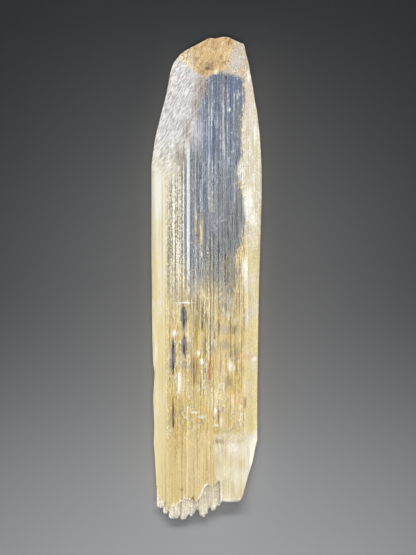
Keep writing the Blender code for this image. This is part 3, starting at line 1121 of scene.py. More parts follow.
class Tone(Enum):
    """A patch's colour, how clear it is, how strongly it covers and how broken up it is."""

    MIST = (tint(240, 242, 238), 0.30, 0.8, 0.3)
    BLUSH = (tint(236, 212, 204), 0.40, 0.8, 0.4)
    LEMON = (tint(214, 210, 134), 0.40, 0.6, 0.6)
    SLATE = (tint(92, 94, 94), 0.55, 0.75, 0.5)
    DUSK = (tint(140, 116, 92), 0.40, 0.9, 0.85)
    GOLD = (tint(226, 206, 140), 0.35, 0.85, 0.75)
    OLIVE = (tint(118, 98, 44), 0.32, 0.8, 0.5)
    PEACH = (tint(236, 178, 104), 0.35, 0.5, 0.6)
    LILAC = (tint(232, 224, 226), 0.30, 0.6, 0.5)
    DEEP_BLUE = (tint(92, 120, 178), 0.65, 0.7, 0.3)
    UMBER = (tint(124, 78, 18), 0.32, 0.85, 0.4)
    RUST = (tint(184, 112, 0), 0.35, 0.9, 0.3)
    # Painted shade: the dark inside the etch slots.
    SMOKE = (tint(58, 64, 80), 0.75, 0.95, 0.2)
    CHALK = (tint(250, 248, 240), 0.2, 0.9, 0.4)

    def __init__(self, colour: Colour, clearness: float, strength: float, broken: float) -> None:
        """Names the parts of a tone.

        Args:
            colour: Its colour.
            clearness: How much light it passes.
            strength: How fully it covers.
            broken: How far its marks are broken up.
        """
        self.colour = colour
        self.clearness = clearness
        self.strength = strength
        self.broken = broken


@dataclass(frozen=True)
class Mark:
    """A ragged patch of another tone on the front: its middle and half sizes."""

    tone: Tone
    x: float
    y: float
    half_x: float
    half_y: float


@dataclass(frozen=True)
class Zones:
    """Where the crystal's zones lie. A pair runs from where a zone starts to where it is full."""

    front: Point = (5.0, 7.0)
    upper_half: Point = (-8.0, 8.0)
    window_left: Point = (-5.7, -5.1)
    window_right: Point = (-0.9, 1.5)
    strip_left: Point = (-10.6, -9.6)
    strip_right: Point = (-5.1, -5.7)
    flank_foot: Point = (19.0, 31.0)
    left_bevel: Point = (-9.0, -10.8)
    right_bevel: Point = (8.7, 10.0)
    beside_window: Point = (0.4, -0.8)
    beside_foot: Point = (4.0, 12.0)
    middle_top: Point = (2.0, -7.0)
    middle_foot: Point = (-44.0, -33.0)
    low_top: Point = (-31.0, -45.0)
    slab_top: Point = (-36.6, -39.6)
    slab_left: Point = (1.4, 1.9)
    foot: Point = (-0.3, 0.9)
    riser_x: float = -4.5
    riser_half: Point = (0.46, 0.26)
    riser_foot: Point = (-5.0, 4.0)
    riser_top: Point = (34.0, 31.0)
    warm_top: Point = (-2.0, -14.0)
    warm_foot: Point = (-44.0, -36.0)
    olive_top: Point = (10.0, 5.0)
    olive_foot: Point = (-14.0, -5.0)
    dark_foot: Point = (-24.0, -16.0)
    curls_top: Point = (2.0, -8.0)
    curls_foot: Point = (-44.0, -34.0)


@dataclass(frozen=True)
class SpodumeneFinish:
    """Straw-coloured kunzite: clear blue-grey in its upper part, cloudy yellow below."""

    index: float = 1.66
    absorption: Colour = (0.86, 0.80, 0.62, 1.0)
    absorption_density: float = 22.0
    bump_strength: float = 0.8
    bump_height: float = 0.25
    blue: Colour = tint(162, 178, 202)
    blue_deep: Colour = tint(102, 124, 166)
    blue_grey: Colour = tint(70, 74, 70)
    slate: Colour = tint(126, 136, 142)
    streak_highlight: Colour = tint(226, 230, 232)
    straw: Colour = tint(213, 188, 120)
    straw_pale: Colour = tint(240, 224, 164)
    straw_deep: Colour = tint(144, 114, 50)
    amber: Colour = tint(206, 174, 68)
    honey: Colour = tint(250, 232, 170)
    slab: Colour = tint(214, 198, 152)
    cream: Colour = tint(242, 234, 200)
    petal: Colour = tint(228, 217, 192)
    milk: Colour = tint(246, 243, 228)
    bone: Colour = tint(220, 213, 184)
    frost: Colour = tint(210, 206, 204)
    frost_line_shade: Colour = tint(150, 142, 138)
    rose: Colour = tint(196, 174, 164)
    tan: Colour = tint(212, 178, 122)
    tan_pale: Colour = tint(238, 216, 172)
    brown: Colour = tint(146, 108, 64)
    bronze: Colour = tint(146, 130, 92)
    bronze_deep: Colour = tint(82, 70, 44)
    smoky: Colour = tint(222, 202, 168)
    glassy: Colour = tint(250, 240, 212)
    white: Colour = tint(250, 249, 247)
    riser_white: Colour = tint(230, 232, 220)
    window_edge: tuple[Point, ...] = (
        (-8.0, 8.2), (1.0, 7.2), (5.2, 6.8), (7.2, 7.6), (9.8, 9.0), (13.5, 9.9), (16.0, 10.5),
        (18.5, 9.3), (22.2, 8.7), (26.0, 8.1), (29.8, 8.4), (34.8, 8.9), (38.5, 9.1), (44.8, 9.25),
        (50.0, 9.1),
    )
    foot_edge: tuple[Point, ...] = (
        (-13.8, -53.2), (-12.2, -54.0), (-11.4, -55.2), (-10.4, -56.6), (-9.3, -57.5),
        (-8.2, -56.6), (-7.2, -55.8), (-6.3, -55.1), (-5.4, -54.4), (-4.6, -55.1), (-3.8, -55.0),
        (-2.7, -55.7), (-1.8, -54.4), (-1.0, -51.8), (0.4, -51.1), (1.4, -51.9), (3.1, -50.1),
        (3.5, -50.4), (3.9, -55.1), (8.4, -55.4), (9.6, -55.4), (13.8, -55.4),
    )
    marks: tuple[Mark, ...] = (
        # The dark slots and dashes of the middle zone. The darkest marks paint the shade inside the
        # etch slots.
        Mark(Tone.SMOKE, -5.65, -9.6, 0.85, 3.2), Mark(Tone.SMOKE, -8.3, -19.2, 0.7, 4.2),
        Mark(Tone.SMOKE, -5.5, -16.7, 0.75, 2.4), Mark(Tone.OLIVE, -3.1, -11.0, 0.4, 2.2),
        Mark(Tone.OLIVE, -5.4, -20.8, 0.55, 1.6), Mark(Tone.UMBER, -8.3, -33.8, 0.6, 3.8),
        Mark(Tone.UMBER, -3.6, -21.8, 0.35, 3.4), Mark(Tone.UMBER, -2.6, -22.6, 0.3, 2.6),
        Mark(Tone.OLIVE, -1.9, -10.8, 0.45, 2.6), Mark(Tone.OLIVE, -0.9, -11.2, 0.45, 2.4),
        Mark(Tone.OLIVE, 0.2, -10.5, 0.45, 2.2), Mark(Tone.OLIVE, 1.2, -11.3, 0.5, 2.6),
        Mark(Tone.OLIVE, -0.5, -16.5, 0.6, 2.0), Mark(Tone.OLIVE, 1.6, -16.8, 0.7, 1.8),
        Mark(Tone.OLIVE, 6.0, -12.6, 3.2, 1.4), Mark(Tone.OLIVE, 5.2, -16.4, 3.0, 1.2),
        Mark(Tone.UMBER, 7.9, -11.4, 0.2, 1.4),
        Mark(Tone.OLIVE, 7.4, -18.4, 1.6, 1.6), Mark(Tone.OLIVE, 5.4, -25.4, 1.3, 1.5),
        Mark(Tone.DUSK, 3.0, -40.4, 1.3, 0.9), Mark(Tone.DUSK, 3.9, -43.0, 0.3, 1.4),
        Mark(Tone.UMBER, 8.75, -23.5, 0.16, 5.4), Mark(Tone.UMBER, -6.2, -52.4, 0.45, 0.5),
        Mark(Tone.UMBER, 3.0, -33.4, 0.3, 1.8), Mark(Tone.UMBER, 9.6, -30.6, 0.35, 1.6),
        Mark(Tone.OLIVE, 5.5, 3.0, 2.2, 3.0), Mark(Tone.OLIVE, 1.6, 0.5, 0.5, 3.2),
        # Rust, gold and peach stains.
        Mark(Tone.RUST, 0.7, -22.8, 0.5, 3.4), Mark(Tone.RUST, 3.2, -22.8, 0.3, 3.0),
        Mark(Tone.GOLD, -5.4, -13.3, 1.4, 1.2), Mark(Tone.GOLD, -6.0, -27.0, 2.4, 2.6),
        Mark(Tone.GOLD, 1.8, -28.5, 2.2, 4.0), Mark(Tone.PEACH, 9.2, -19.3, 2.9, 1.0),
        Mark(Tone.PEACH, 7.5, -29.8, 1.9, 1.8), Mark(Tone.PEACH, 13.2, 14.0, 0.22, 7.0),
        Mark(Tone.PEACH, 8.9, 51.4, 1.0, 0.9), Mark(Tone.PEACH, 9.6, 8.5, 0.4, 2.6),
        Mark(Tone.PEACH, 13.0, -24.0, 0.3, 8.0),
        # White fracture patches and clouds, and one painted highlight.
        Mark(Tone.CHALK, -8.1, -13.6, 0.45, 1.0), Mark(Tone.CHALK, -2.1, -18.4, 0.5, 0.8),
        Mark(Tone.CHALK, -1.2, -20.6, 0.5, 0.8), Mark(Tone.CHALK, 2.2, -32.8, 0.4, 0.8),
        Mark(Tone.MIST, -2.9, -33.2, 1.3, 0.3), Mark(Tone.MIST, -1.4, -34.3, 1.0, 0.35),
        Mark(Tone.MIST, 3.6, -35.4, 0.3, 1.2), Mark(Tone.MIST, 2.3, -36.4, 0.7, 0.4),
        Mark(Tone.CHALK, 5.9, -21.6, 0.7, 1.3), Mark(Tone.CHALK, 11.8, -20.0, 0.9, 0.4),
        Mark(Tone.CHALK, -6.7, -25.2, 0.4, 3.0), Mark(Tone.CHALK, 5.7, 42.1, 0.35, 0.5),
        Mark(Tone.CHALK, 10.6, 50.2, 0.5, 1.0), Mark(Tone.CHALK, 2.3, 51.5, 0.5, 0.6),
        Mark(Tone.CHALK, 10.4, 19.2, 1.2, 3.8), Mark(Tone.CHALK, 11.6, 15.0, 1.0, 2.0),
        Mark(Tone.CHALK, 12.2, 36.5, 0.4, 3.4), Mark(Tone.CHALK, 9.6, 2.4, 0.7, 3.4),
        # The small CHALK mark at x -4.9 paints a highlight at the top of the etch slot below it.
        Mark(Tone.MIST, -5.4, -5.9, 2.6, 0.16), Mark(Tone.CHALK, -4.9, -5.8, 0.5, 0.2),
        Mark(Tone.MIST, -3.6, 53.4, 0.24, 3.6), Mark(Tone.BLUSH, -4.8, 50.3, 1.6, 0.18),
        Mark(Tone.CHALK, -12.6, -18.0, 0.2, 2.6), Mark(Tone.LILAC, 11.0, -8.6, 1.4, 2.2),
        Mark(Tone.LILAC, 7.2, -42.6, 2.0, 2.0), Mark(Tone.LILAC, 7.7, 54.0, 1.3, 1.3),
        # Tints of the upper part, and painted highlights along striations and in a small cross-shaped
        # glint.
        Mark(Tone.DEEP_BLUE, 6.9, 48.2, 1.9, 2.6), Mark(Tone.DEEP_BLUE, 8.6, 43.0, 0.4, 6.0),
        Mark(Tone.DEEP_BLUE, 1.6, 34.0, 1.0, 6.0), Mark(Tone.DEEP_BLUE, -5.35, 14.0, 0.3, 17.0),
        Mark(Tone.DEEP_BLUE, -3.65, 14.0, 0.25, 16.0), Mark(Tone.GOLD, -2.6, 12.8, 0.5, 5.6),
        Mark(Tone.GOLD, -1.2, 10.6, 0.5, 4.6), Mark(Tone.SLATE, -1.9, 12.4, 1.6, 5.6),
        Mark(Tone.MIST, -2.5, 15.4, 0.35, 1.6), Mark(Tone.CHALK, -1.2, 6.2, 0.25, 0.9),
        Mark(Tone.DUSK, -1.6, 13.2, 0.35, 3.2), Mark(Tone.GOLD, 0.9, 19.0, 0.22, 3.6),
        # The two long thin CHALK marks paint highlights along striations.
        Mark(Tone.UMBER, 4.5, 47.0, 0.12, 5.0), Mark(Tone.CHALK, 4.1, 40.0, 0.13, 10.0),
        Mark(Tone.CHALK, 1.2, 40.0, 0.1, 7.0),
        # These four marks paint a highlight: a small cross-shaped glint.
        Mark(Tone.MIST, 6.9, 46.2, 0.3, 0.8), Mark(Tone.MIST, 7.7, 45.4, 0.25, 0.9),
        Mark(Tone.MIST, 8.3, 46.0, 0.25, 0.6), Mark(Tone.MIST, 7.6, 46.9, 0.6, 0.2),
        Mark(Tone.MIST, 10.3, 15.6, 0.6, 1.3), Mark(Tone.MIST, 8.3, 27.0, 0.6, 2.4),
        Mark(Tone.SLATE, 6.2, 13.0, 3.2, 7.0), Mark(Tone.SLATE, 5.0, 2.0, 3.4, 3.4),
        Mark(Tone.SLATE, 4.4, 20.4, 2.8, 5.6), Mark(Tone.LILAC, -2.6, 36.0, 1.3, 5.0),
        Mark(Tone.DUSK, -1.2, 48.0, 1.9, 3.2), Mark(Tone.DUSK, -3.0, 42.6, 1.3, 4.0),
        Mark(Tone.DUSK, -4.9, 36.6, 1.0, 3.2), Mark(Tone.DUSK, -6.6, 30.6, 1.5, 3.0),
        Mark(Tone.UMBER, 0.3, 52.4, 0.7, 0.5), Mark(Tone.DUSK, 0.6, 53.2, 1.5, 1.3),
        Mark(Tone.MIST, -12.4, 21.0, 1.5, 7.0), Mark(Tone.BLUSH, 10.2, 43.0, 0.45, 7.0),
        Mark(Tone.LEMON, 12.1, 40.2, 0.5, 2.6), Mark(Tone.LEMON, 12.3, 32.2, 0.5, 2.4),
        Mark(Tone.LEMON, 11.9, 5.0, 0.7, 3.0),
    )

    def build(self, blade: Blade) -> bpy.types.Material:
        """Makes the crystal's material.

        Args:
            blade: The blade, whose faces the pattern follows.

        Returns:
            The material.
        """
        material = bpy.data.materials.new("spodumene")
        material.use_nodes = True
        tree = material.node_tree
        shader = tree.nodes["Principled BSDF"]
        pattern = CrystalPattern(NodeGraph(tree), self, blade)
        tree.links.new(pattern.colour(), shader.inputs["Base Color"])
        tree.links.new(pattern.clearness(), shader.inputs["Transmission Weight"])
        tree.links.new(pattern.roughness(), shader.inputs["Roughness"])
        tree.links.new(pattern.relief(), shader.inputs["Normal"])
        shader.inputs["IOR"].default_value = self.index
        body = tree.nodes.new("ShaderNodeVolumeAbsorption")
        body.inputs["Color"].default_value = self.absorption
        body.inputs["Density"].default_value = self.absorption_density
        tree.links.new(body.outputs[0], tree.nodes["Material Output"].inputs["Volume"])
        return material


class CrystalPattern:
    """The crystal's zones and grains as shader nodes, in millimetres on the crystal."""

    def __init__(self, nodes: NodeGraph, finish: SpodumeneFinish, blade: Blade) -> None:
        """Lays out the zones.

        Args:
            nodes: The node tree to build in.
            finish: The colours and marks.
            blade: The blade, whose faces the zones follow.
        """
        self.nodes, self.finish, self.blade, self.zones = nodes, finish, blade, Zones()
        coordinates = nodes.tree.nodes.new("ShaderNodeTexCoord")
        self.place = nodes.vector("SCALE", coordinates.outputs["Object"], scale=1.0 / MM)
        self.x, self.y, self.z = nodes.parts(self.place)
        self.front = nodes.step(self.z, *self.zones.front)
        facing = nodes.tree.nodes.new("ShaderNodeNewGeometry").outputs["Normal"]
        self.facing = nodes.parts(facing)
        self.lay_grains()
        self.lay_zones()
        self.lay_edges()
        self.masks = self.mark_masks()

    def lay_grains(self) -> None:
        """Makes the noises that the zones share."""
        nodes, place = self.nodes, self.place
        self.mottle = nodes.grain(place, (2.4, 5.5, 4.0), detail=3.0, shift=1.3)
        self.cloud = nodes.grain(place, (3.5, 8.0, 5.0), detail=2.0, shift=9.2)
        self.dash = nodes.grain(place, (0.34, 6.0, 3.0), detail=2.0, shift=7.7)
        self.speck = nodes.grain(place, (0.30, 1.2, 0.8), detail=3.0, shift=3.1)
        self.grit = nodes.grain(place, (0.26, 0.38, 0.3), detail=1.0, shift=18.0)
        self.presence = nodes.grain(place, (1.1, 16.0, 5.0), detail=2.0, shift=4.1)
        # Growth lines run dead straight along the crystal, so they vary with x alone.
        back_shift = nodes.math("MULTIPLY", self.front, 41.0)
        fine = nodes.math("MULTIPLY_ADD", self.x, 1.0 / 0.42, back_shift)
        fade = nodes.math("MULTIPLY_ADD", self.presence, 0.5, -0.25)
        self.line = nodes.math("ADD", nodes.lines(fine, 2.0), fade)
        self.fibre = nodes.total((self.line, 0.42), (self.dash, 0.30), (self.speck, 0.28))
        self.bristle = nodes.total((self.line, 0.36), (self.speck, 0.24), (self.grit, 0.40))

    def lay_zones(self) -> None:
        """Makes a mask of each zone."""
        nodes, blade, zones, x, y = self.nodes, self.blade, self.zones, self.x, self.y
        upper = nodes.step(nodes.fray(y, (self.dash, 16.0), (self.cloud, 10.0)), *zones.upper_half)
        x_ragged = nodes.fray(x, (self.mottle, 4.0), (self.speck, 3.0), (self.grit, 1.5))
        right = nodes.graph(y, self.finish.window_edge)
        inside = nodes.math("SUBTRACT", right, x_ragged)
        self.window = nodes.product(
            upper, nodes.step(x, *zones.window_left), nodes.step(inside, *zones.window_right)
        )
        self.left_strip = nodes.product(
            upper, nodes.step(x, *zones.strip_right), nodes.step(x, *zones.strip_left)
        )
        self.flank = nodes.product(
            self.near_plane(blade.flank, 1.0), nodes.step(y, *zones.flank_foot)
        )
        self.crown = self.near_plane(blade.crown, 1.1)
        self.shoulder = self.near_plane(blade.shoulder, 0.7)
        self.left_bevel = nodes.step(x, *zones.left_bevel)
        beside = nodes.product(
            nodes.step(inside, *zones.beside_window), nodes.step(y, *zones.beside_foot)
        )
        bevel = nodes.step(nodes.fray(x, (self.mottle, 2.0)), *zones.right_bevel)
        self.right_bevel = nodes.math("MAXIMUM", bevel, beside)
        self.middle = nodes.product(
            nodes.step(y, *zones.middle_top), nodes.step(y, *zones.middle_foot)
        )
        self.low = nodes.step(nodes.fray(y, (self.mottle, 16.0)), *zones.low_top)
        slab_top = nodes.fray(y, (self.mottle, 8.0), (self.speck, 3.0))
        self.slab_height = nodes.step(slab_top, *zones.slab_top)
        self.slab = nodes.product(self.slab_height, nodes.step(x, *zones.slab_left))

    def lay_edges(self) -> None:
        """Makes the masks of the glassy foot, the painted highlights along its outlines, and the
        white riser.
        """
        nodes, zones, x, y = self.nodes, self.zones, self.x, self.y
        level = nodes.math("SUBTRACT", nodes.graph(x, self.finish.foot_edge), y)
        below = nodes.fray(level, (self.speck, 2.4), (self.grit, 1.6))
        self.foot = nodes.step(below, *zones.foot)
        # Painted highlights: white along the broken edge, on the steep sides of the foot and on
        # curling lines in it. self.rim holds them.
        edging = nodes.step(nodes.math("ABSOLUTE", below), 0.30, 0.10)
        break_highlight = nodes.product(edging, self.front)
        steep_side_highlight = nodes.product(self.foot, nodes.step(self.facing[2], 0.65, 0.20, 0.0, 0.6))
        curl = nodes.grain(self.place, (0.8, 1.7, 1.2), detail=1.0, shift=12.0)
        curled = nodes.product(self.foot, nodes.contour(curl, 0.5, 0.03))
        rim = nodes.math("MAXIMUM", break_highlight, nodes.math("MAXIMUM", steep_side_highlight, curled))
        self.rim = nodes.math("MULTIPLY", rim, 0.75)
        off = nodes.math("ABSOLUTE", nodes.math("ADD", x, -zones.riser_x))
        fading = nodes.fray(y, (self.speck, 30.0))
        self.riser = nodes.product(
            nodes.step(off, *zones.riser_half), nodes.step(fading, *zones.riser_foot, 0.0, 0.9),
            nodes.step(y, *zones.riser_top), self.front,
        )

    def near_plane(self, face: EndFace, reach: float) -> bpy.types.NodeSocket:
        """A mask of an end face.

        Args:
            face: The end face.
            reach: How far off its plane the mask ends.

        Returns:
            The mask, 1 on the face and falling raggedly to 0 off it.
        """
        nodes = self.nodes
        start = face.z - face.slope_x * face.x - face.slope_y * face.y
        rise = nodes.total((self.x, face.slope_x), (self.y, face.slope_y), plus=start)
        off = nodes.math("ABSOLUTE", nodes.math("SUBTRACT", self.z, rise))
        ragged = nodes.fray(off, (self.speck, 1.6), (self.grit, 1.2))
        return nodes.step(ragged, reach, 0.35)

    def mark_masks(self) -> list[tuple[Tone, bpy.types.NodeSocket]]:
        """Makes one mask for each tone, from all its marks.

        Returns:
            Each tone that has marks, with its mask.
        """
        nodes = self.nodes
        ragged = nodes.total((self.speck, 1.8), (self.dash, 2.0), (self.grit, 1.0), plus=-2.4)
        masks = []
        for tone in Tone:
            total = None
            for mark in (m for m in self.finish.marks if m.tone is tone):
                off = nodes.vector("SUBTRACT", self.place, (mark.x, mark.y, 0.0))
                off = nodes.vector("MULTIPLY", off, (1.0 / mark.half_x, 1.0 / mark.half_y, 0.0))
                reach = nodes.math("MULTIPLY_ADD", ragged, 0.35 + tone.broken, nodes.length(off))
                share = nodes.step(reach, 1.15 + 0.4 * tone.broken, 0.75 - 0.6 * tone.broken)
                total = share if total is None else nodes.math("MAXIMUM", total, share)
            if total is not None:
                specks = nodes.step(self.bristle, 0.44, 0.54, 1.0 - tone.broken, 1.0)
                masks.append((tone, nodes.product(total, self.front, specks)))
        return masks

    def straw_colour(self) -> bpy.types.NodeSocket:
        """The cloudy yellow of the lower half, with its paler slab at the right.

        Returns:
            The colour.
        """
        nodes, tones, zones = self.nodes, self.finish, self.zones
        # Half the stretch of noise that runs from the deepest straw to the palest one.
        calm = nodes.mix(self.low, nodes.mix(self.middle, 0.14, 0.085), 0.22)
        low, high = nodes.math("SUBTRACT", 0.5, calm), nodes.math("ADD", 0.5, calm)
        share = nodes.step(nodes.mix(0.12, self.fibre, self.bristle), low, high)
        straw = nodes.ramp(
            share, (0.0, tones.straw_deep), (0.3, tones.straw), (0.65, tones.straw),
            (1.0, tones.straw_pale),
        )
        warm = nodes.product(
            nodes.step(self.y, *zones.warm_top), nodes.step(self.y, *zones.warm_foot),
            nodes.step(self.mottle, 0.33, 0.52),
        )
        straw = nodes.cover(straw, tones.amber, warm, 0.85)
        olive = nodes.product(
            nodes.step(self.y, *zones.olive_top), nodes.step(self.y, *zones.olive_foot),
            nodes.step(self.mottle, 0.42, 0.56),
        )
        straw = nodes.cover(straw, tones.bronze, olive, 0.4)
        dark = nodes.product(
            self.middle, nodes.step(self.line, 0.45, 0.38), nodes.step(self.cloud, 0.44, 0.56),
            nodes.step(self.y, *zones.dark_foot),
        )
        straw = nodes.cover(straw, tones.bronze_deep, dark, 0.85)
        curl = nodes.grain(self.place, (1.1, 2.8, 1.6), detail=3.0, shift=44.0)
        curled = nodes.product(
            nodes.step(self.y, *zones.curls_top), nodes.step(self.y, *zones.curls_foot),
            nodes.step(self.cloud, 0.42, 0.54),
        )
        outline = nodes.product(curled, nodes.contour(curl, 0.50, 0.035))
        straw = nodes.cover(straw, tones.bronze, outline, 0.75)
        gleam = nodes.product(curled, nodes.contour(curl, 0.56, 0.035))
        straw = nodes.cover(straw, tones.cream, gleam, 0.7)
        cloudy = nodes.step(nodes.mix(0.5, self.fibre, self.mottle), 0.28, 0.68)
        slab = nodes.ramp(cloudy, (0.0, tones.straw), (0.5, tones.slab), (1.0, tones.cream))
        slab = nodes.blend(nodes.step(self.cloud, 0.5, 0.66, 0.0, 0.4), slab, tones.milk)
        return nodes.blend(self.slab, straw, slab)

    def window_colour(self) -> bpy.types.NodeSocket:
        """The clear blue-grey of the upper half, with pale streaks painted in as highlights on its
        striations.

        Returns:
            The colour.
        """
        nodes, tones = self.nodes, self.finish
        share = nodes.step(nodes.mix(0.35, self.fibre, self.bristle), 0.39, 0.61)
        # The palest stop paints highlights along the striations; the deeper blues are the crystal's
        # own tone.
        clear = nodes.ramp(
            share, (0.0, tones.blue_deep), (0.4, tones.blue), (0.65, tones.blue), (1.0, tones.streak_highlight)
        )
        tinge = nodes.grain(self.place, (1.3, 11.0, 4.0), detail=2.0, shift=21.0)
        clear = nodes.blend(nodes.step(tinge, 0.46, 0.62, 0.0, 0.55), clear, tones.blue_deep)
        clear = nodes.blend(nodes.step(tinge, 0.50, 0.38, 0.0, 0.7), clear, tones.slate)
        grey = nodes.product(nodes.step(self.y, 32.0, 2.0), nodes.step(self.x, -3.0, 5.0, 0.45, 1.0))
        clear = nodes.cover(clear, tones.blue_grey, grey, 0.85)
        rusty = nodes.lines(nodes.math("MULTIPLY_ADD", self.x, 1.9, 13.0), 1.0)
        rusty = nodes.product(
            nodes.step(rusty, 0.56, 0.64), nodes.step(self.bristle, 0.44, 0.54),
            nodes.step(self.y, 34.0, 18.0), nodes.step(self.x, 5.0, 2.0),
        )
        return nodes.cover(clear, tones.straw_pale, rusty, 0.8)

    def strip_colour(self) -> bpy.types.NodeSocket:
        """The bristly strip left of the window.

        Returns:
            The colour.
        """
        nodes, tones = self.nodes, self.finish
        share = nodes.step(nodes.mix(0.28, self.bristle, self.line), 0.42, 0.58)
        return nodes.ramp(
            share, (0.0, tones.bronze_deep), (0.32, tones.bronze), (0.5, tones.straw_pale),
            (0.7, tones.cream), (1.0, tones.white),
        )

    def bevel_colour(self) -> bpy.types.NodeSocket:
        """The frosted cream of the two steep prism faces, with painted light and shade on the right
        one.

        Returns:
            The colour.
        """
        nodes, tones = self.nodes, self.finish
        bevel = nodes.blend(nodes.step(self.y, -6.0, 24.0), tones.honey, tones.cream)
        milky = nodes.product(
            nodes.step(self.cloud, 0.48, 0.70), nodes.step(self.y, -40.0, -20.0, 0.2, 0.7)
        )
        bevel = nodes.blend(milky, bevel, tones.milk)
        bevel = nodes.blend(nodes.step(self.fibre, 0.48, 0.40, 0.0, 0.5), bevel, tones.straw)
        turn = math.radians(14.0)
        crumple = nodes.grain(self.place, (0.7, 2.4, 1.2), turn=turn, detail=3.0, shift=15.0)
        crumple = nodes.mix(0.4, crumple, self.bristle)
        upper = nodes.product(self.right_bevel, nodes.step(self.y, 2.0, 16.0))
        # The white clouds are the crystal's own colour; their crumpled look is painted, with bone as
        # painted shade and white as painted highlight.
        crumpled = nodes.ramp(
            crumple, (0.43, tones.bone), (0.48, tones.petal), (0.52, tones.petal),
            (0.56, tones.white),
        )
        bevel = nodes.cover(bevel, crumpled, upper, 0.9)
        curl = nodes.grain(self.place, (0.9, 3.2, 1.5), detail=2.0, shift=33.0)
        curled = nodes.product(
            nodes.contour(curl, 0.5, 0.04), nodes.step(self.y, 4.0, -8.0),
            nodes.step(self.y, -44.0, -32.0),
        )
        bevel = nodes.cover(bevel, tones.milk, curled, 0.45)
        # Painted highlight: the right bevel beside the slab is painted milk white.
        slab_edge_highlight = nodes.product(self.slab_height, self.right_bevel)
        return nodes.blend(slab_edge_highlight, bevel, tones.milk)

    def flank_colour(self) -> bpy.types.NodeSocket:
        """The white frost of the flank, scored by slanting lines, whose shade and light are painted
        in as darker and whiter lines.

        Returns:
            The colour.
        """
        nodes, tones = self.nodes, self.finish
        frost = nodes.blend(nodes.step(self.y, 38.0, 26.0), tones.frost, tones.bone)
        etch_shade_and_light = self.slanting_lines()
        # Painted shade and highlight: dark and white lines along the etch ledges.
        frost = nodes.blend(nodes.step(etch_shade_and_light, 0.49, 0.42, 0.0, 0.75), frost, tones.frost_line_shade)
        return nodes.blend(nodes.step(etch_shade_and_light, 0.51, 0.58, 0.0, 0.9), frost, tones.white)

    def crown_colour(self) -> bpy.types.NodeSocket:
        """The tan skin of the top.

        Returns:
            The colour.
        """
        nodes, tones = self.nodes, self.finish
        turn = math.radians(-18.0)
        fine = nodes.grain(self.place, (0.22, 1.5, 0.9), turn=turn, detail=2.0, shift=6.0)
        broad = nodes.grain(self.place, (1.0, 3.4, 2.0), turn=turn, detail=2.0, shift=26.0)
        fluff = nodes.step(nodes.mix(0.45, fine, broad), 0.33, 0.66)
        tan = nodes.ramp(
            fluff, (0.0, tones.brown), (0.3, tones.tan), (0.6, tones.tan), (1.0, tones.tan_pale)
        )
        pits = nodes.ramp(
            self.grit, (0.38, tones.brown), (0.46, tones.tan_pale), (0.6, tones.milk)
        )
        beyond_ridge = nodes.fray(self.x, (self.grit, 2.0))
        return nodes.blend(nodes.step(beyond_ridge, -3.2, -4.2, 0.0, 0.6), tan, pits)

    def foot_colour(self) -> bpy.types.NodeSocket:
        """The clear ribs under the break.

        Returns:
            The colour.
        """
        nodes, tones = self.nodes, self.finish
        ribs = nodes.lines(nodes.math("MULTIPLY_ADD", self.x, 2.3, 7.0), 1.0)
        ribs = nodes.mix(0.4, ribs, self.speck)
        return nodes.ramp(
            nodes.step(ribs, 0.36, 0.64), (0.0, tones.smoky), (0.3, tones.glassy),
            (0.7, tones.glassy), (1.0, tones.white),
        )

    def colour(self) -> bpy.types.NodeSocket:
        """Lays the colour on, zone by zone.

        Returns:
            The colour.
        """
        nodes, tones = self.nodes, self.finish
        crumbly = nodes.step(nodes.mix(0.6, self.grit, self.speck), 0.41, 0.61)
        rose = nodes.ramp(crumbly, (0.0, tones.tan_pale), (0.35, tones.rose), (1.0, tones.milk))
        colour = nodes.blend(self.left_strip, self.straw_colour(), self.strip_colour())
        colour = nodes.blend(self.window, colour, self.window_colour())
        bevel = self.bevel_colour()
        colour = nodes.blend(self.left_bevel, colour, bevel)
        colour = nodes.cover(colour, bevel, self.right_bevel, 0.85)
        colour = nodes.blend(self.flank, colour, self.flank_colour())
        colour = nodes.blend(self.shoulder, colour, rose)
        colour = nodes.blend(self.crown, colour, self.crown_colour())
        for tone, mask in self.masks:
            colour = nodes.cover(colour, tone.colour, mask, tone.strength)
        colour = nodes.blend(self.riser, colour, tones.riser_white)
        grey = nodes.step(self.grit, 0.35, 0.65, 0.84, 1.12)
        even = nodes.math("MAXIMUM", nodes.math("MULTIPLY", self.low, 0.5), self.left_bevel)
        grey = nodes.mix(even, grey, 1.0)
        colour = nodes.vector("SCALE", colour, scale=grey)
        colour = nodes.blend(self.foot, colour, self.foot_colour())
        # The painted edge highlights of the foot go on last, in white.
        return nodes.blend(self.rim, colour, tones.white)

    def clearness(self) -> bpy.types.NodeSocket:
        """How much light passes the surface.

        Returns:
            The transmission.
        """
        nodes = self.nodes
        veil = nodes.step(self.fibre, 0.50, 0.60, 0.70, 0.42)
        clear = nodes.mix(self.low, nodes.step(self.speck, 0.4, 0.6, 0.44, 0.34), 0.38)
        clear = nodes.mix(self.left_strip, clear, 0.4)
        clear = nodes.mix(self.window, clear, veil)
        clear = nodes.mix(self.left_bevel, clear, 0.4)
        clear = nodes.mix(self.right_bevel, clear, 0.35)
        clear = nodes.mix(self.flank, clear, 0.3)
        clear = nodes.mix(self.shoulder, clear, 0.3)
        clear = nodes.mix(self.crown, clear, 0.12)
        for tone, mask in self.masks:
            clear = nodes.mix(mask, clear, tone.clearness)
        clear = nodes.mix(self.riser, clear, 0.3)
        clear = nodes.mix(self.foot, clear, 0.4)
        # The painted edge highlights let little light through.
        return nodes.mix(self.rim, clear, 0.1)

